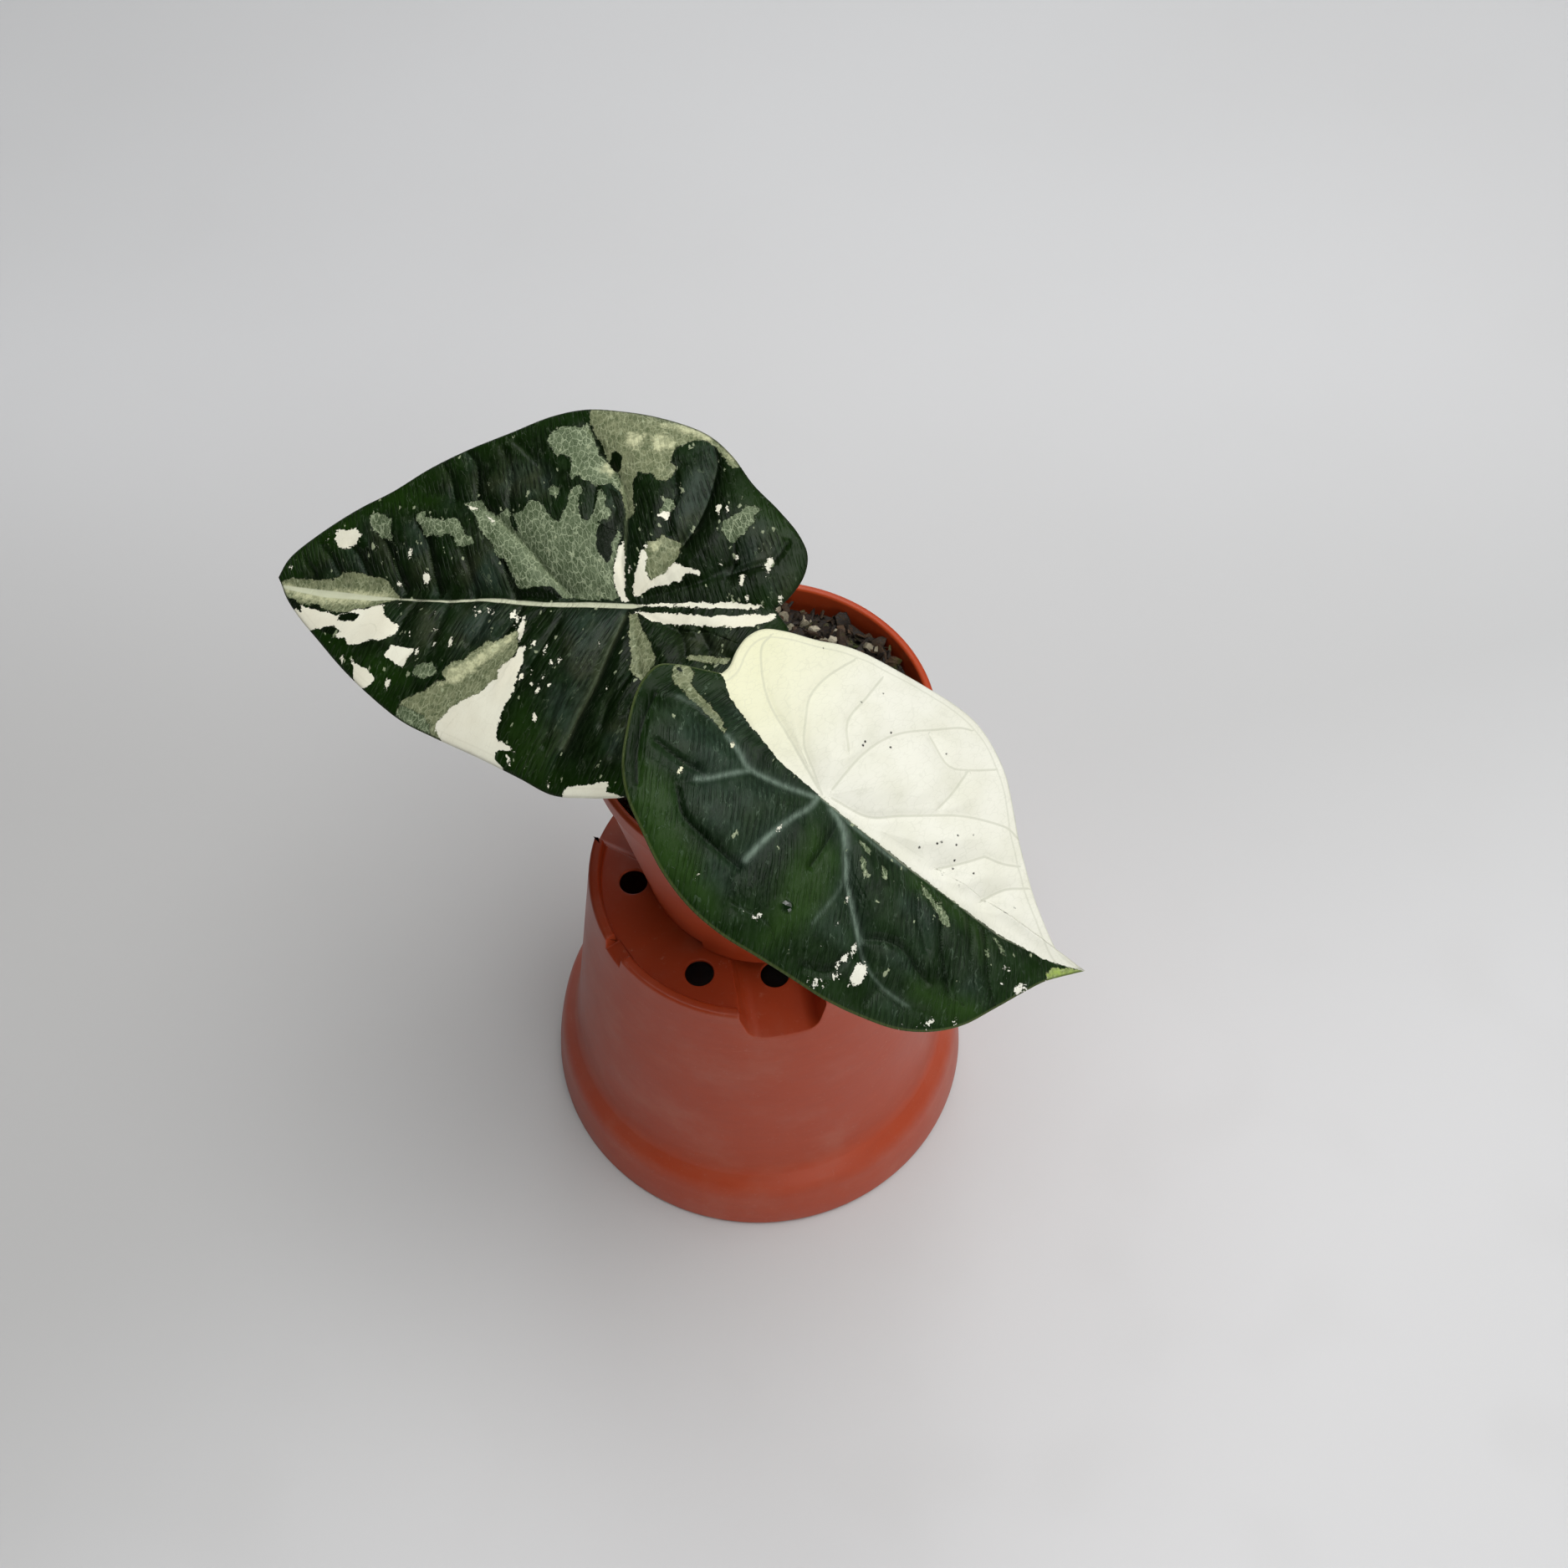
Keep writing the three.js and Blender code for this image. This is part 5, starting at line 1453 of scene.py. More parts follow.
def model_blade(leaf, name):
    rim = blade_rim(leaf)
    part = np.arange(1, RINGS + 1) / RINGS
    places = np.vstack([[(0, 0)], (part[:, None, None] * rim[None]).reshape(-1, 2)])
    share = np.r_[0, np.repeat(part, SPOKES)]
    fade = np.sin(math.pi * np.clip(share, 0, 1)) ** 0.5
    fade[share == 1] = 0
    height, near_main, signed_main, near_side = blade_relief(leaf, places, fade)
    tip_reach = np.clip(1 - np.hypot(*places.T) / leaf["arch"]["tip"], 0.15, 1)
    ribs = RIB_HEIGHT * tip_reach * np.exp(-(near_main / 0.9) ** 2)
    ribs += 0.15 * np.exp(-(near_side / 0.5) ** 2)
    thick = THICKNESS * (1 - 0.35 * share ** 6)
    upper = np.column_stack([places, height])
    lower = np.column_stack([places, height - thick - ribs * np.minimum(1, 6 * (1 - share))])
    edge = slice(1 + (RINGS - 1) * SPOKES, None)
    middle = (upper[edge] + lower[edge]) / 2
    outward = middle[:, :2] / np.linalg.norm(middle[:, :2], axis=1)[:, None]
    middle[:, :2] += outward * 0.12
    turn = np.array(leaf_turn(leaf))
    points = np.vstack([upper, lower, middle]) @ turn.T + leaf["hub"] + np.array(AXIS) / MM
    piece = new_piece(name, points, blade_faces())
    flat = np.vstack([places, places, places[edge]])
    s, t = flat.T
    grain = np.column_stack([s - GRAIN_SLANT * np.abs(t), np.abs(t) + GRAIN_SLANT * s])
    corners = np.zeros(len(piece.data.loops), np.int32)
    piece.data.loops.foreach_get("vertex_index", corners)
    for label, values in (("plane", flat), ("grain", grain)):
        flat_map = piece.data.uv_layers.new(name=label)
        flat_map.data.foreach_set("uv", values[corners].ravel().astype(np.float32))
    for label, values in leaf_distances(leaf, places, rim, near_main, signed_main, near_side).items():
        store(piece, label, np.r_[values, values, values[edge]])
    store(piece, "under", np.r_[np.zeros(len(upper)), np.ones(len(lower)), np.full(len(middle), 0.5)])
    only(piece)
    bpy.ops.object.shade_smooth()
    return piece


marbled_leaf = model_blade(MARBLED, "marbled_blade")
half_white_leaf = model_blade(HALF_WHITE, "half_white_blade")

# %% [markdown]
# ## Effects that both leaves share
# Four small node groups hold what repeats on the leaves. The first makes the ragged edge of a marking from
# its distance. The second draws the net of fine veins in pale tissue. The third is the leathery skin, with
# its wavy folds, its thin pale threads and their height. The fourth scatters tiny flecks.

# %% Leaf groups
def ragged_group():
    """1 inside a marking and 0 outside, with a ragged edge; Distance and Jag are in mm."""
    net, given, result = new_group(
        "ragged edge", {"Distance": 0.0, "Point": None, "Jag": 0.8, "Blur": 0.12},
        {"Mask": "NodeSocketFloat"})
    lumps = net.math("SUBTRACT", net.noise(given["Point"], 0.55, 2, 0.5), 0.5)
    teeth = net.math("SUBTRACT", net.noise(given["Point"], 1.7, 3, 0.7), 0.5)
    wobble = net.plus(net.times(lumps, 1.7), net.times(teeth, 1.9))
    moved = net.plus(given["Distance"], net.times(wobble, given["Jag"]))
    low = net.times(given["Blur"], -1.0)
    net.fill(result, {"Mask": net.between(moved, low, given["Blur"])})
    return net.tree


def net_group():
    """The net of fine veins in pale tissue: long narrow meshes, with smaller ones inside them."""
    net, given, result = new_group(
        "net of veins", {"Point": None, "Size": 2.0}, {"Lines": "NodeSocketFloat"})
    warp = net.noise(given["Point"], 0.7, 3, 0.6, 1)
    bent = net.shift(given["Point"], warp)
    scale = net.math("DIVIDE", 1.0, given["Size"])
    wide = net.cells(net.stretch(bent, (1, 0.45, 1)), scale, "DISTANCE_TO_EDGE")
    fine = net.cells(bent, net.times(scale, 1.7), "DISTANCE_TO_EDGE")
    strong = net.between(net.noise(given["Point"], 0.35, 3), 0.3, 0.65, 0.35, 1.0)
    lines = net.larger(net.between(wide, 0.11, 0.02), net.between(fine, 0.1, 0.02, 0.0, 0.45))
    net.fill(result, {"Lines": net.times(lines, strong)})
    return net.tree


def wrinkle_group():
    """The leathery grain of the leaf: wavy folds side by side, thin pale threads, and their height."""
    net, given, result = new_group("wrinkles", {"Grain": None}, {
        "Height": "NodeSocketFloat", "Threads": "NodeSocketFloat", "Folds": "NodeSocketFloat"})
    warp = net.noise(given["Grain"], 0.45, 2, 0.5, 1)
    bent = net.shift(given["Grain"], warp)
    across = net.node("ShaderNodeSeparateXYZ", {0: given["Grain"]})
    sway = net.times(net.noise(net.stretch(given["Grain"], (1, 0.4, 1)), 0.2, 3, 0.6), 11.0)
    wave = net.math("SINE", net.plus(net.times(across, 5.2), sway))
    where = net.between(net.noise(given["Grain"], 0.17, 2), 0.4, 0.62)
    folds = net.times(net.between(wave, 0.1, -0.8), where)
    away = net.math("SUBTRACT", net.noise(net.stretch(bent, (1, 0.16, 1)), 0.62, 2, 0.5), 0.5)
    threads = net.between(net.math("ABSOLUTE", away), 0.02, 0.003)
    threads = net.times(threads, net.between(net.noise(given["Grain"], 0.3, 3), 0.36, 0.58))
    soft = net.noise(net.stretch(given["Grain"], (1, 0.3, 1)), 0.6, 3, 0.6)
    height = net.math("SUBTRACT", net.times(soft, 0.5), net.times(folds, 0.22))
    height = net.plus(height, net.times(threads, 0.1))
    net.fill(result, {"Height": height, "Threads": threads, "Folds": folds})
    return net.tree


def fleck_group():
    """Tiny ragged flecks; Chance is the share of cells that hold one, and Size a cell's width in mm."""
    net, given, result = new_group(
        "flecks", {"Point": None, "Size": 1.4, "Chance": 0.05}, {"Mask": "NodeSocketFloat"})
    scale = net.math("DIVIDE", 1.0, given["Size"])
    warp = net.noise(given["Point"], 1.3, 2, 0.6, 1)
    bent = net.shift(given["Point"], warp)
    distance = net.cells(bent, scale)
    lot = net.node("ShaderNodeSeparateColor", {0: net.cells(bent, scale, "F1", 1)})
    drawn = net.math("LESS_THAN", lot, given["Chance"])
    reach = net.between(net.noise(given["Point"], 1.1, 2), 0.3, 0.7, 0.08, 0.5)
    spot = net.between(net.math("SUBTRACT", distance, reach), 0.07, -0.07)
    net.fill(result, {"Mask": net.times(spot, drawn)})
    return net.tree


RAGGED = ragged_group()
VEIN_NET = net_group()
WRINKLES = wrinkle_group()
FLECKS = fleck_group()
print("leaf groups:", [group.name for group in bpy.data.node_groups])

# %% [markdown]
# ## The skin of the leaves
# Both leaves are painted from the back to the front, and first come the masks that all layers share. One
# function reads them off the mesh and gives each marking its own ragged edge.

# %% Patterns and masks of the leaf skin
def leaf_patterns(net, look):
    """The maps, fine patterns and masks of the markings that all layers of the skin use."""
    skin = SimpleNamespace()
    skin.point = net.node("ShaderNodeUVMap", uv_map="plane")
    skin.grain = net.node("ShaderNodeUVMap", uv_map="grain")

    def marking(label, jag, blur, shift=(0, 0, 0)):
        inputs = {"Distance": net.value(label), "Point": net.shift(skin.point, shift)}
        return net.group(RAGGED, {**inputs, "Jag": jag, "Blur": blur}, "Mask")

    skin.white = net.larger(marking("white", look["white_jag"], 0.08), marking("spot", 0.9, 0.08))
    skin.mint = marking("mint", 0.75, 0.09, (7, 3, 0))
    skin.olive = marking("olive", 0.75, 0.12, (3, 9, 0))
    skin.lime = marking("lime", 1.5, 0.8, (5, 5, 0))
    skin.dark = marking("dark", 0.6, 0.1, (1, 8, 0))
    skin.lines = net.group(VEIN_NET, {"Point": skin.grain, "Size": 1.05}, "Lines")
    skin.wrinkles = net.group(WRINKLES, {"Grain": skin.grain}, "Height")
    skin.threads = skin.wrinkles.node.outputs["Threads"]
    skin.folds = skin.wrinkles.node.outputs["Folds"]
    skin.cloud = net.noise(skin.point, 0.12, 3)
    skin.grit = net.noise(net.stretch(skin.grain, (1, 0.35, 1)), 0.9, 4, 0.65)
    # Where painted light falls: the lit side of each ridge, as strong as that ridge's light.
    skin.lit_side = net.times(net.between(net.value("ridge"), -0.1, 0.3), net.value("lit"))
    skin.crack = net.plus(net.value("crease"), net.times(net.noise(skin.point, 0.7, 2), 0.9))
    return skin


# %% [markdown]
# The green comes next. It is darker in the middle, brighter at the margin, and vivid in a few places. A
# silvery sheen is painted between the veins near the hub and on the lit side of each ridge, with pale
# threads in it. Painted shade darkens the other side of a ridge, and the creases and folds.

# %% Green tissue
def green_tissue(net, look, skin):
    green = net.mix(net.between(skin.cloud, 0.38, 0.66), look["deep"], look["green"])
    green = net.mix(net.between(skin.grit, 0.4, 0.75, 0, look["grit"]), green, look["lit"])
    edge = net.plus(net.value("margin"), net.times(skin.cloud, -7.0))
    green = net.mix(net.between(edge, 5.0, -2.5, 0, look["margin_strength"]), green, look["margin"])
    green = net.mix(net.times(net.value("vivid"), look["vivid_strength"]), green, look["vivid"])
    # Painted sheen: a silvery reflection is painted into the colour in the sheen patches and on the lit side
    # of each ridge, in two tones, with pale threads showing in it.
    silver = net.larger(net.value("painted_sheen"), skin.lit_side)
    silver = net.times(silver, net.between(skin.grit, 0.3, 0.65, 0.45, 1.0))
    tone = net.between(net.noise(skin.point, 0.07, 2), 0.42, 0.58)
    sheen = net.mix(tone, look["silver"], look["painted_sheen_pewter"])
    green = net.mix(net.times(silver, look["painted_sheen_strength"]), green, sheen)
    shown = net.times(skin.threads, net.between(silver, 0.0, 0.8, 0.5, 1.0))
    green = net.mix(net.times(shown, look["thread_strength"]), green, look["thread"])
    # Painted shade: the shaded side of each ridge, the creases and the folds are darkened towards the valley
    # colour.
    painted_shade = net.times(net.between(net.value("ridge"), 0.3, -0.1), net.value("shade"))
    painted_shade = net.larger(painted_shade, net.between(skin.crack, 0.75, 0.45, 0, look["painted_crease_shade"]))
    folded = net.times(skin.folds, net.between(silver, 0.0, 0.8, 0.35, 0.85))
    painted_shade = net.larger(painted_shade, net.times(folded, look["painted_fold_shade"]))
    green = net.mix(painted_shade, green, look["valley"])
    return net.mix(net.times(net.value("glow"), look["vein_glow"]), green, look["silver"])


# %% [markdown]
# Olive and mint tissue have a paler net of veins, and lime is a brighter tint within them. White tissue is
# a thin cream layer: its net is faint, its veins are grey, and a grey line runs just inside the rim. On the
# half-white leaf it turns yellow towards the lobe.

# %% Pale and white tissue
def pale_tissue(net, look, skin, green):
    """The green with its olive, mint and lime markings and its pale veins."""
    mottle = net.between(net.noise(skin.point, 0.55, 4, 0.7), 0.36, 0.64)
    olive = net.mix(mottle, look["olive_b"], look["olive_a"])
    olive = net.mix(net.times(skin.lines, 0.7), olive, look["olive_net"])
    colour = net.mix(skin.olive, green, olive)
    patchy = net.between(net.noise(skin.point, 0.3, 4, 0.7), 0.36, 0.64)
    mint = net.mix(patchy, look["mint_a"], look["mint_b"])
    # Painted light and painted shade on the mint: lighter on the lit side of each ridge, darker on its
    # shaded side.
    mint = net.mix(net.times(skin.lit_side, 0.3), mint, look["net"])
    mint = net.mix(net.times(net.value("shade"), 0.4), mint, look["margin"])
    mint = net.mix(net.times(skin.lines, 0.85), mint, look["net"])
    colour = net.mix(skin.mint, colour, mint)
    lime = net.times(skin.lime, net.between(mottle, 0.0, 1.0, 0.45, 0.95))
    colour = net.mix(net.times(lime, net.larger(skin.olive, skin.mint)), colour, look["lime"])
    pale_vein = net.times(net.value("pale_vein"), net.between(skin.grit, 0.3, 0.6, 0.55, 1.0))
    return net.mix(net.times(pale_vein, look["vein_strength"]), colour, look["vein"])


def white_tissue(net, look, skin):
    tone = net.between(net.noise(skin.point, 0.09, 2), 0.35, 0.7)
    cream = net.mix(tone, look["white_a"], look["white_b"])
    if look["yellow_base"]:
        toward_lobe = net.between(net.node("ShaderNodeSeparateXYZ", {0: skin.point}), 4.0, -30.0)
        cream = net.mix(net.times(toward_lobe, 0.8), cream, look["yellow"])
    cream = net.mix(net.between(skin.lines, 0.2, 1.0, 0, look["white_net"]), cream, look["white_vein"])
    thin = net.between(net.math("ABSOLUTE", net.value("vein_side")), 0.36, 0.1)
    thin = net.times(thin, net.math("LESS_THAN", net.value("vein"), 0.8))
    from_line = net.math("ABSOLUTE", net.math("SUBTRACT", net.value("margin"), 1.7))
    thin = net.larger(thin, net.between(from_line, 0.3, 0.08, 0, 0.7))
    return net.mix(net.times(thin, look["white_vein_strength"]), cream, look["white_vein"])


# %% [markdown]
# The small things lie on top: flecks, which are denser near the markings, dark islands, the pale midrib,
# the thin rim, and on one leaf dark specks and a drop of water. The underside is a paler and duller version
# of all that. White tissue has no wrinkles to speak of, so the same masks also quiet the bump.

# %% Details and surface
def leaf_details(net, look, skin, colour):
    near_marks = net.larger(net.value("white"), net.larger(net.value("mint"), net.value("olive")))
    chance = net.between(near_marks, -6.0, 0.5, look["fleck_low"], look["fleck_high"])

    def flecks(size, shift):
        moved = net.shift(net.stretch(skin.grain, (1, 0.6, 1)), shift)
        return net.group(FLECKS, {"Point": moved, "Size": size, "Chance": chance}, "Mask")

    light = net.larger(flecks(1.5, (0, 0, 0)), flecks(0.8, (31, 17, 0)))
    light = net.times(light, net.math("SUBTRACT", 1.0, skin.white))
    colour = net.mix(net.times(light, 0.6), colour, look["fleck"])
    colour = net.mix(skin.dark, colour, look["deep"])
    rib = net.between(net.value("rib"), -0.15, 0.2)
    colour = net.mix(net.times(rib, look["rib_strength"]), colour, look["rib"])
    rim = net.between(net.value("margin"), 0.45, 0.1)
    rim = net.times(rim, net.between(skin.white, 1.0, 0.0, 0.15, 0.7))
    colour = net.mix(rim, colour, look["rim"])
    colour = net.mix(net.between(net.value("speck"), -0.08, 0.1), colour, paint(28, 26, 22))
    colour = net.mix(net.between(net.value("drop"), -0.5, 0.6), colour, look["drop"])
    pale = net.larger(skin.white, net.times(skin.mint, 0.4))
    dull = net.mix(pale, look["under"], look["under_white"])
    dull = net.mix(net.between(net.value("vein"), 1.0, 0.3, 0, 0.5), dull, look["under_white"])
    return net.mix(net.math("GREATER_THAN", net.value("under"), 0.6), colour, dull)


def leaf_surface(net, look, skin):
    """The bump and the roughness."""
    pale = net.larger(skin.white, net.times(skin.mint, 0.5))
    quiet = net.between(pale, 0.0, 0.6, 1.0, 0.08)
    quiet = net.times(quiet, net.between(skin.olive, 0.0, 1.0, 1.0, 0.4))
    height = net.plus(skin.wrinkles, net.between(net.value("side_vein"), 0.0, 1.5, 0, 0.6))
    height = net.plus(height, net.between(skin.crack, 0.4, 0.85, 0, look["crease_depth"]))
    height = net.times(height, quiet)
    height = net.plus(height, net.times(net.times(skin.lines, skin.mint), 0.12))
    height = net.times(height, net.math("LESS_THAN", net.value("drop"), 0.0))
    rough = net.between(skin.grit, 0.3, 0.7, look["rough"] - 0.05, look["rough"] + 0.06)
    rough = net.plus(rough, net.times(pale, 0.08))
    rough = net.plus(rough, net.times(net.value("under"), 0.15))
    rough = net.times(rough, net.between(net.value("drop"), -0.2, 0.1, 1.0, 0.25))
    return net.bump(1.0, 0.0006, height), rough


# %% Leaf material
def leaf_material(name, look):
    material, net, shader = new_material(name)
    skin = leaf_patterns(net, look)
    colour = pale_tissue(net, look, skin, green_tissue(net, look, skin))
    colour = net.mix(skin.white, colour, white_tissue(net, look, skin))
    bump, rough = leaf_surface(net, look, skin)
    net.fill(shader, {
        "Base Color": leaf_details(net, look, skin, colour), "Roughness": rough, "Normal": bump,
        "Coat Weight": net.between(net.value("drop"), -0.1, 0.15),
        "IOR": 1.45, "Specular IOR Level": look["sheen"]})
    return material


# In each look, silver and the pewter tone colour the painted sheen, and silver also the glow along pale
# veins; valley is the colour of the painted shade on the shaded side of ridges, in creases and in folds, and
# the crease and fold strengths say how much of that painted shade shows.
MARBLED_LOOK = {
    "deep": paint(8, 21, 3), "green": paint(15, 34, 8), "lit": paint(36, 54, 27), "grit": 0.55,
    "margin": paint(20, 43, 5), "margin_strength": 0.65,
    "vivid": paint(27, 52, 9), "vivid_strength": 0.6,
    "silver": paint(58, 73, 64), "painted_sheen_pewter": paint(62, 68, 49), "painted_sheen_strength": 0.6,
    "valley": paint(4, 12, 2), "painted_crease_shade": 0.8, "crease_depth": 0.4, "painted_fold_shade": 0.85,
    "thread": paint(98, 112, 88), "thread_strength": 0.45,
    "vein": paint(132, 146, 108), "vein_glow": 0.2, "vein_strength": 0.6,
    "olive_a": paint(124, 130, 98), "olive_b": paint(88, 98, 68), "olive_net": paint(168, 174, 140),
    "mint_a": paint(70, 85, 58), "mint_b": paint(96, 110, 82), "net": paint(164, 176, 144),
    "lime": paint(204, 206, 166),
    "white_a": paint(242, 241, 222), "white_b": paint(236, 233, 212), "yellow_base": False,
    "white_vein": paint(212, 208, 186), "white_net": 0.14, "white_vein_strength": 0.25,
    "fleck": paint(176, 186, 152), "fleck_low": 0.005, "fleck_high": 0.06,
    "rib": paint(206, 210, 182), "rib_strength": 0.95, "rim": paint(26, 36, 18), "drop": paint(20, 60, 12),
    "under": paint(84, 106, 70), "under_white": paint(196, 202, 168),
    "white_jag": 0.75, "rough": 0.34, "sheen": 0.13,
}
HALF_WHITE_LOOK = dict(
    MARBLED_LOOK, deep=paint(10, 25, 7), green=paint(24, 42, 19), lit=paint(42, 60, 37), grit=0.6,
    margin=paint(20, 42, 6), margin_strength=0.5, vivid=paint(42, 68, 24),
    silver=paint(50, 66, 56), painted_sheen_pewter=paint(44, 58, 42),
    valley=paint(5, 15, 4), painted_crease_shade=0.35, crease_depth=0.15, painted_fold_shade=0.6,
    thread=paint(92, 110, 92), vein=paint(118, 136, 122), vein_glow=0.5, vein_strength=0.75,
    lime=paint(150, 172, 84),
    white_a=paint(226, 226, 214), white_b=paint(218, 218, 203),
    yellow=paint(224, 224, 186), yellow_base=True,
    white_vein=paint(176, 178, 160), white_net=0.16, white_vein_strength=0.45,
    fleck_low=0.002, fleck_high=0.025, rib_strength=0.25, rim=paint(80, 92, 52), drop=paint(8, 28, 6),
    white_jag=0.4, sheen=0.1,
)
for blade, leaf, look, slot in (
        (marbled_leaf, MARBLED, MARBLED_LOOK, "marbled_leaf"),
        (half_white_leaf, HALF_WHITE, HALF_WHITE_LOOK, "half_moon_leaf")):
    blade.data.materials.append(leaf_material(slot.replace("_", " "), look))
    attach(blade, BODY)
    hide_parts(leaf["node"])
print("leaf materials:", [blade.data.materials[0].name for blade in (marbled_leaf, half_white_leaf)])

# %% [markdown]
# ## Stalks
# An alocasia leaf hangs on a long round stalk. It is thick and winged at its base, where it clasps the
# stem, has a shallow groove on its inner side, and flares a little into the blade. A bevelled curve could
# give the taper but not the groove that fades on its way up, so rings of points are placed along the
# curve, each a little different, and joined to a skin.

# %% Stalk shape
STALK_SIDES = 28
STALK_RINGS = 110
STALK_RADIUS = 2.3
CLASP = 1.1                 # how much thicker the stalk is where it clasps the stem, in mm
THINNING = 0.5              # how much thinner it is at its upper end
FLARE = 0.9                 # how much it widens into the blade
SINK = 0.9                  # how far its end lies under the face of the blade
STEM_OFFSET = Vector((-1.5, 1.5, 0))        # from the middle of the pot


def bezier(p0, p1, p2, p3, t):
    return p0 * (1 - t) ** 3 + p1 * 3 * t * (1 - t) ** 2 + p2 * 3 * t * t * (1 - t) + p3 * t ** 3


def model_stalk(leaf, name, offset, start_pull, end_pull):
    normal = leaf_turn(leaf) @ Vector((0, 0, 1))
    end = Vector(leaf["hub"]) - normal * SINK
    middle = (POT_AXIS - AXIS) / MM + STEM_OFFSET
    start = Vector((middle.x + offset[0], middle.y + offset[1], MIX_TOP + 0.6))
    path = (start, start + Vector(start_pull), end - Vector(end_pull), end)
    inward = math.atan2(-offset[1], -offset[0])
    rings = []
    for index in range(STALK_RINGS + 1):
        along = index / STALK_RINGS
        centre = bezier(*path, along)
        ahead = bezier(*path, min(1, along + 0.01)) - bezier(*path, max(0, along - 0.01))
        axis = ahead.normalized().lerp(normal, max(0, (along - 0.9) / 0.1)).normalized()
        across = (Vector((1, 0, 0)) - axis * axis.x).normalized()
        other = axis.cross(across)
        clasp = math.exp(-along * 5)
        flare = max(0, (along - 0.93) / 0.07) ** 2
        radius = STALK_RADIUS + CLASP * clasp - THINNING * along + FLARE * flare
        for side in range(STALK_SIDES):
            angle = side / STALK_SIDES * 2 * math.pi
            groove = math.exp(-((math.remainder(angle - inward, 2 * math.pi)) / 0.42) ** 2)
            here = radius * (1 - groove * (0.42 * clasp + 0.12 * (1 - flare)))
            here *= 1 + 0.02 * math.sin(5 * angle + 9 * along)
            rings.append(centre + across * here * math.cos(angle) + other * here * math.sin(angle))
    faces = [list(range(STALK_SIDES))[::-1]]
    for row in range(STALK_RINGS):
        for side in range(STALK_SIDES):
            a = row * STALK_SIDES + side
            b = row * STALK_SIDES + (side + 1) % STALK_SIDES
            faces.append((a, b, b + STALK_SIDES, a + STALK_SIDES))
    faces.append([STALK_RINGS * STALK_SIDES + side for side in range(STALK_SIDES)])
    piece = new_piece(name, [point + AXIS / MM for point in rings], faces)
    store(piece, "along", np.repeat(np.arange(STALK_RINGS + 1) / STALK_RINGS, STALK_SIDES))
    only(piece)
    bpy.ops.object.shade_smooth()
    return piece


left_stalk = model_stalk(MARBLED, "left_stalk", (-3.7, 0.4), (-1, 0, 22), (-14, 0, 20))
right_stalk = model_stalk(HALF_WHITE, "right_stalk", (3.7, -0.6), (1, -3, 34), (4, -26, 20))
print("stalks:", [len(stalk.data.polygons) for stalk in (left_stalk, right_stalk)], "faces")

# %% [markdown]
# ## The stem
# The stalks rise from a short thick stem that sits in the mix. It is ringed by the scars of older leaves,
# and dry brown remains of their sheaths cling to it. The stem is a turned body with rings pressed into it,
# and the sheaths are bands of a cylinder, torn along their upper edge, that get their thickness from a
# Solidify modifier.

# %% Stem shape
STEM_RADIUS = 7.6
STEM_CENTRE = POT_AXIS + STEM_OFFSET * MM
STEM_DEPTH = 24             # how deep it sits in the mix
STEM_RISE = 2.6             # how far its top stands out of it
SHEATHS = ((20, 150, 5.4), (190, 130, 4.2), (280, 110, 6.0))    # direction, reach in degrees, and height
SHEATH_WALL = 0.35
SHEATH_START = MIX_TOP - 1.5


def dry_sheath(index, turn, reach, height):
    """A torn band of old leaf sheath around the stem."""
    bpy.ops.object.select_all(action="DESELECT")
    bpy.ops.mesh.primitive_cylinder_add(
        vertices=72, radius=(STEM_RADIUS - 0.5 + 0.12 * index) * MM, depth=height * MM,
        end_fill_type="NOTHING", location=(0, 0, (SHEATH_START + height / 2) * MM))
    sheath = bpy.context.object
    bpy.ops.object.transform_apply()
    edit_all()
    bpy.ops.mesh.subdivide(number_cuts=2)
    bpy.ops.object.mode_set(mode="OBJECT")
    shell = bmesh.new()
    shell.from_mesh(sheath.data)
    outside = []
    for vertex in shell.verts:
        angle = math.degrees(math.atan2(vertex.co.y, vertex.co.x)) % 360
        away = (angle - turn + 180) % 360 - 180
        rise = max(0, vertex.co.z / MM - SHEATH_START) / height
        tear = noise.noise(Vector((angle * 0.12, index * 5.0, 0)))
        vertex.co.xy *= 1 - 0.12 * rise * rise
        vertex.co.z += rise * (1.4 * tear - 2.4 * abs(away / reach) ** 2) * MM
        if abs(away) > reach / 2:
            outside.append(vertex)
    bmesh.ops.delete(shell, geom=outside, context="VERTS")
    shell.to_mesh(sheath.data)
    shell.free()
    apply_modifier(sheath, "SOLIDIFY", thickness=SHEATH_WALL * MM, offset=-1)
    store(sheath, "dry", np.ones(len(sheath.data.vertices)))
    return sheath


def model_stem():
    bottom = MIX_TOP - STEM_DEPTH
    top = MIX_TOP + STEM_RISE
    scars = [
        (STEM_RADIUS * (0.985 if ring % 2 else 0.9), bottom + 7 + ring * 2.2, 0.8) for ring in range(8)]
    stem = turned_solid("stem", [
        (2.5, bottom, 0), (STEM_RADIUS * 0.5, bottom + 0.8, 0.6), (STEM_RADIUS * 0.85, bottom + 4, 1),
        *scars, (STEM_RADIUS * 0.94, top - 1, 0.8), (STEM_RADIUS * 0.7, top, 0.8), (3, top - 0.4, 0)], 56)
    for vertex in stem.data.vertices:
        angle = math.atan2(vertex.co.y, vertex.co.x)
        lump = noise.noise(Vector((math.cos(angle) * 2, math.sin(angle) * 2, vertex.co.z / MM * 0.4)))
        vertex.co.xy *= 1 - 0.05 * abs(lump)
    store(stem, "dry", np.zeros(len(stem.data.vertices)))
    sheaths = [dry_sheath(index, *sheath) for index, sheath in enumerate(SHEATHS)]
    whole = joined([stem, *sheaths])
    bpy.ops.object.shade_smooth_by_angle(angle=math.radians(50))
    settle(whole, STEM_CENTRE)
    return whole


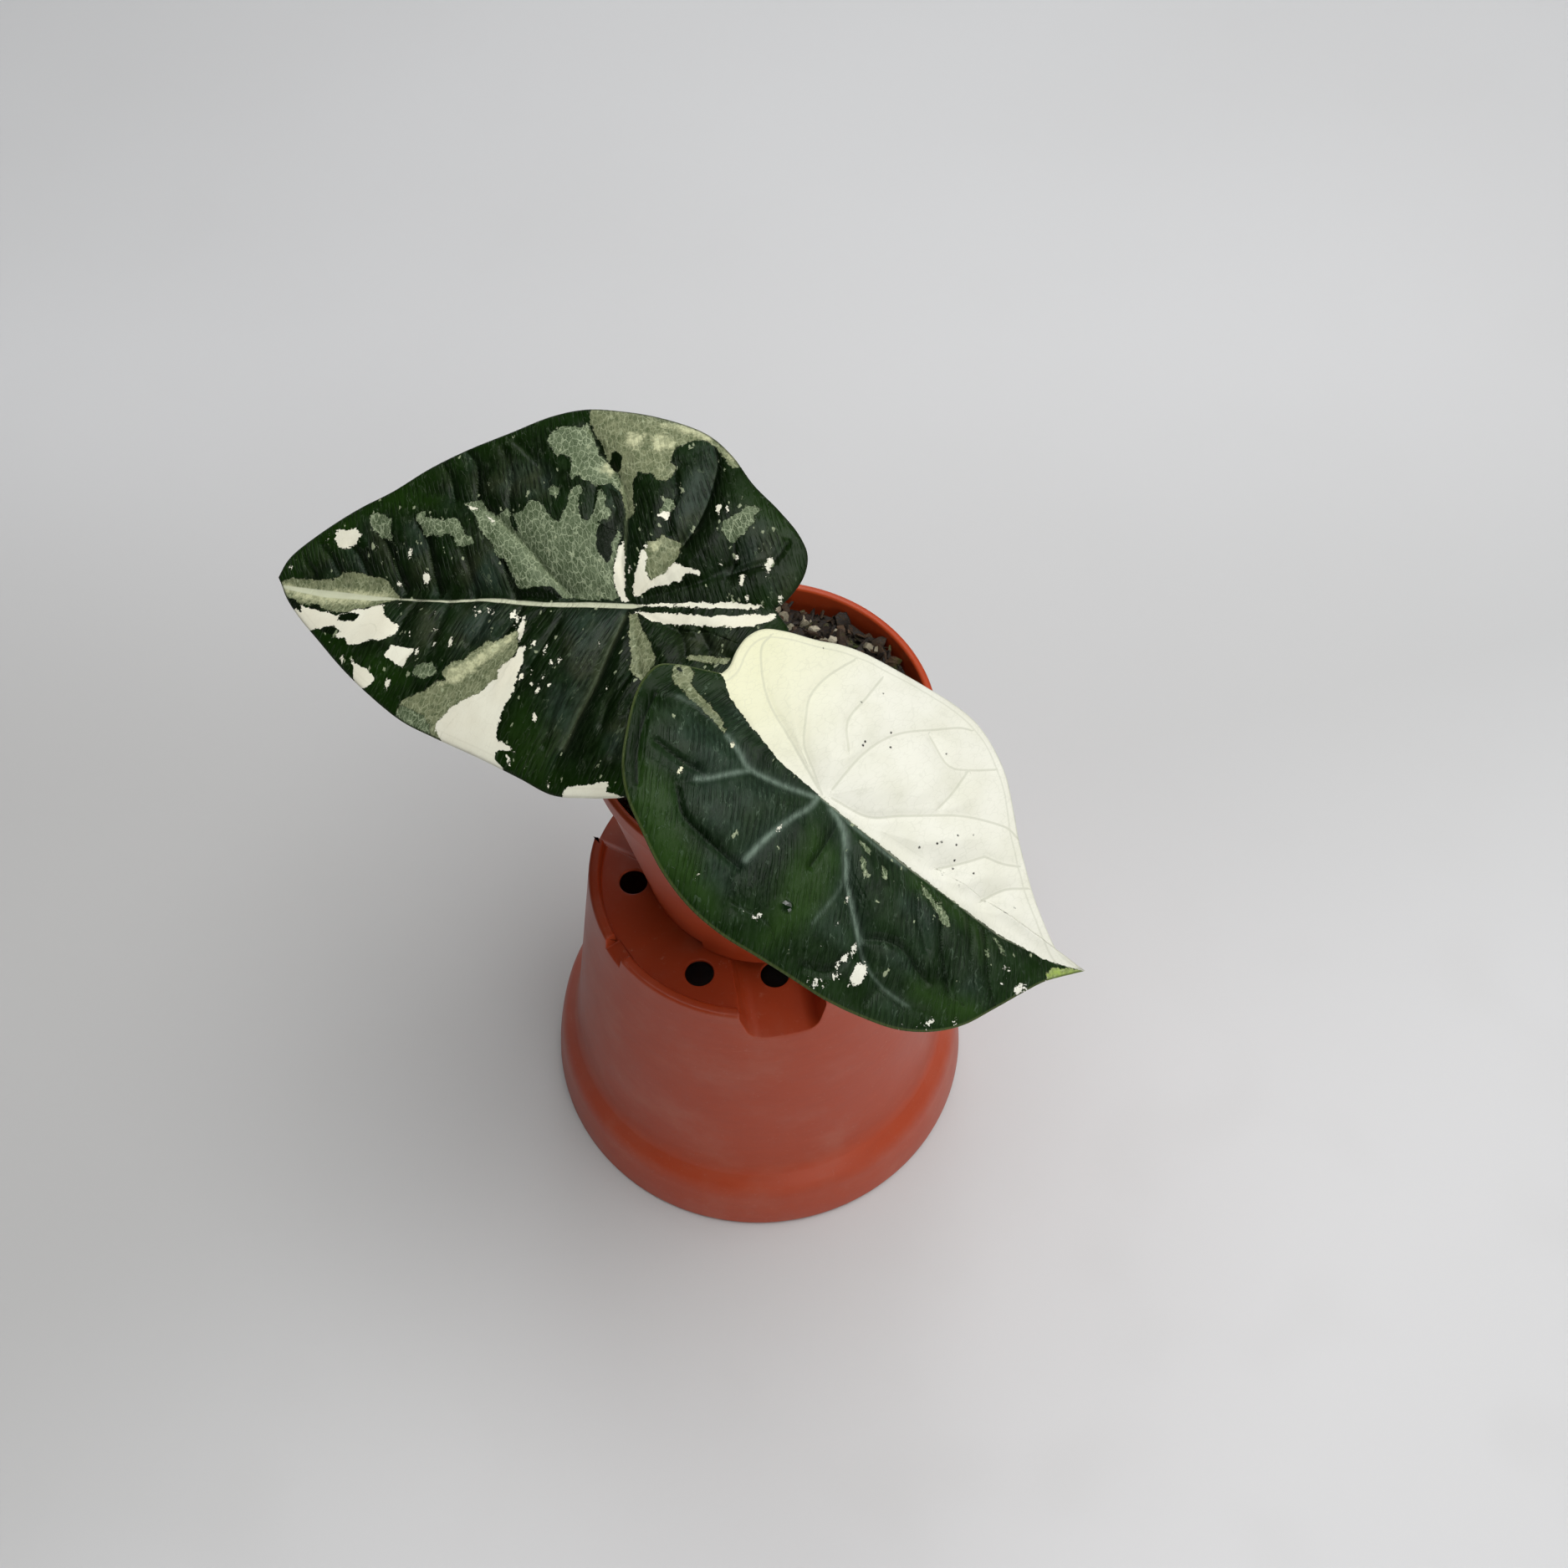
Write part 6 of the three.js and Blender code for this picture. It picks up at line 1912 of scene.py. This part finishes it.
stem = model_stem()
stem.name = "scarred_stem"
print("stem:", len(stem.data.polygons), "faces")

# %% [markdown]
# The stalks are a pale grey-green with fine lengthwise streaks and darker mottling towards the base. The
# stem is browner, and its sheaths are dry and straw-coloured.

# %% Finish of stalks and stem
def stalk_material():
    material, net, shader = new_material("stalk skin")
    point = net.node("ShaderNodeTexCoord", output="Object")
    along = net.value("along")
    streaks = net.noise(net.stretch(point, (1, 1, 0.12)), 900, 3)
    mottle = net.between(net.noise(point, 420, 3), 0.5, 0.66)
    colour = net.mix(along, paint(120, 122, 78), paint(146, 160, 104))
    colour = net.mix(net.between(streaks, 0.35, 0.7, 0, 0.4), colour, paint(96, 116, 70))
    base = net.times(mottle, net.between(along, 0.45, 0.0, 0, 0.6))
    colour = net.mix(base, colour, paint(92, 70, 48))
    net.fill(shader, {
        "Base Color": colour, "Normal": net.bump(0.4, 0.0002, streaks),
        "Roughness": net.between(streaks, 0.3, 0.7, 0.36, 0.5)})
    return material


def stem_material():
    material, net, shader = new_material("stem bark")
    point = net.node("ShaderNodeTexCoord", output="Object")
    fibres = net.noise(net.stretch(point, (1, 1, 0.18)), 1100, 4, 0.65)
    patches = net.noise(point, 260, 3)
    fresh = net.mix(patches, paint(110, 104, 62), paint(84, 66, 42))
    dry = net.mix(fibres, paint(92, 64, 38), paint(178, 146, 100))
    fresh = net.mix(net.between(fibres, 0.4, 0.7), fresh, paint(64, 46, 30))
    colour = net.mix(net.value("dry"), fresh, dry)
    net.fill(shader, {
        "Base Color": colour, "Normal": net.bump(0.6, 0.0003, fibres),
        "Roughness": net.between(fibres, 0.3, 0.7, 0.6, 0.85)})
    return material


skin = stalk_material()
for stalk, node in ((left_stalk, "petiole_left"), (right_stalk, "petiole_right")):
    stalk.data.materials.append(skin)
    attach(stalk, BODY)
    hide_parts(node)
stem.data.materials.clear()
stem.data.materials.append(stem_material())
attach(stem, BODY)
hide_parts("rootstock")
print("green parts:", left_stalk.name, right_stalk.name, stem.name)

# %% [markdown]
# ## Last checks
# The finished plant has to stay as large as its solids, so both boxes are written down side by side.

# %% Compare the sizes and finish
bpy.ops.object.select_all(action="DESELECT")
sizes = {"cad": [list(corner) for corner in CAD_BOX], "visual": [list(corner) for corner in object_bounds()]}
for name, (low, high) in sizes.items():
    print(name, [round((b - a) / MM, 2) for a, b in zip(low, high)], "mm")
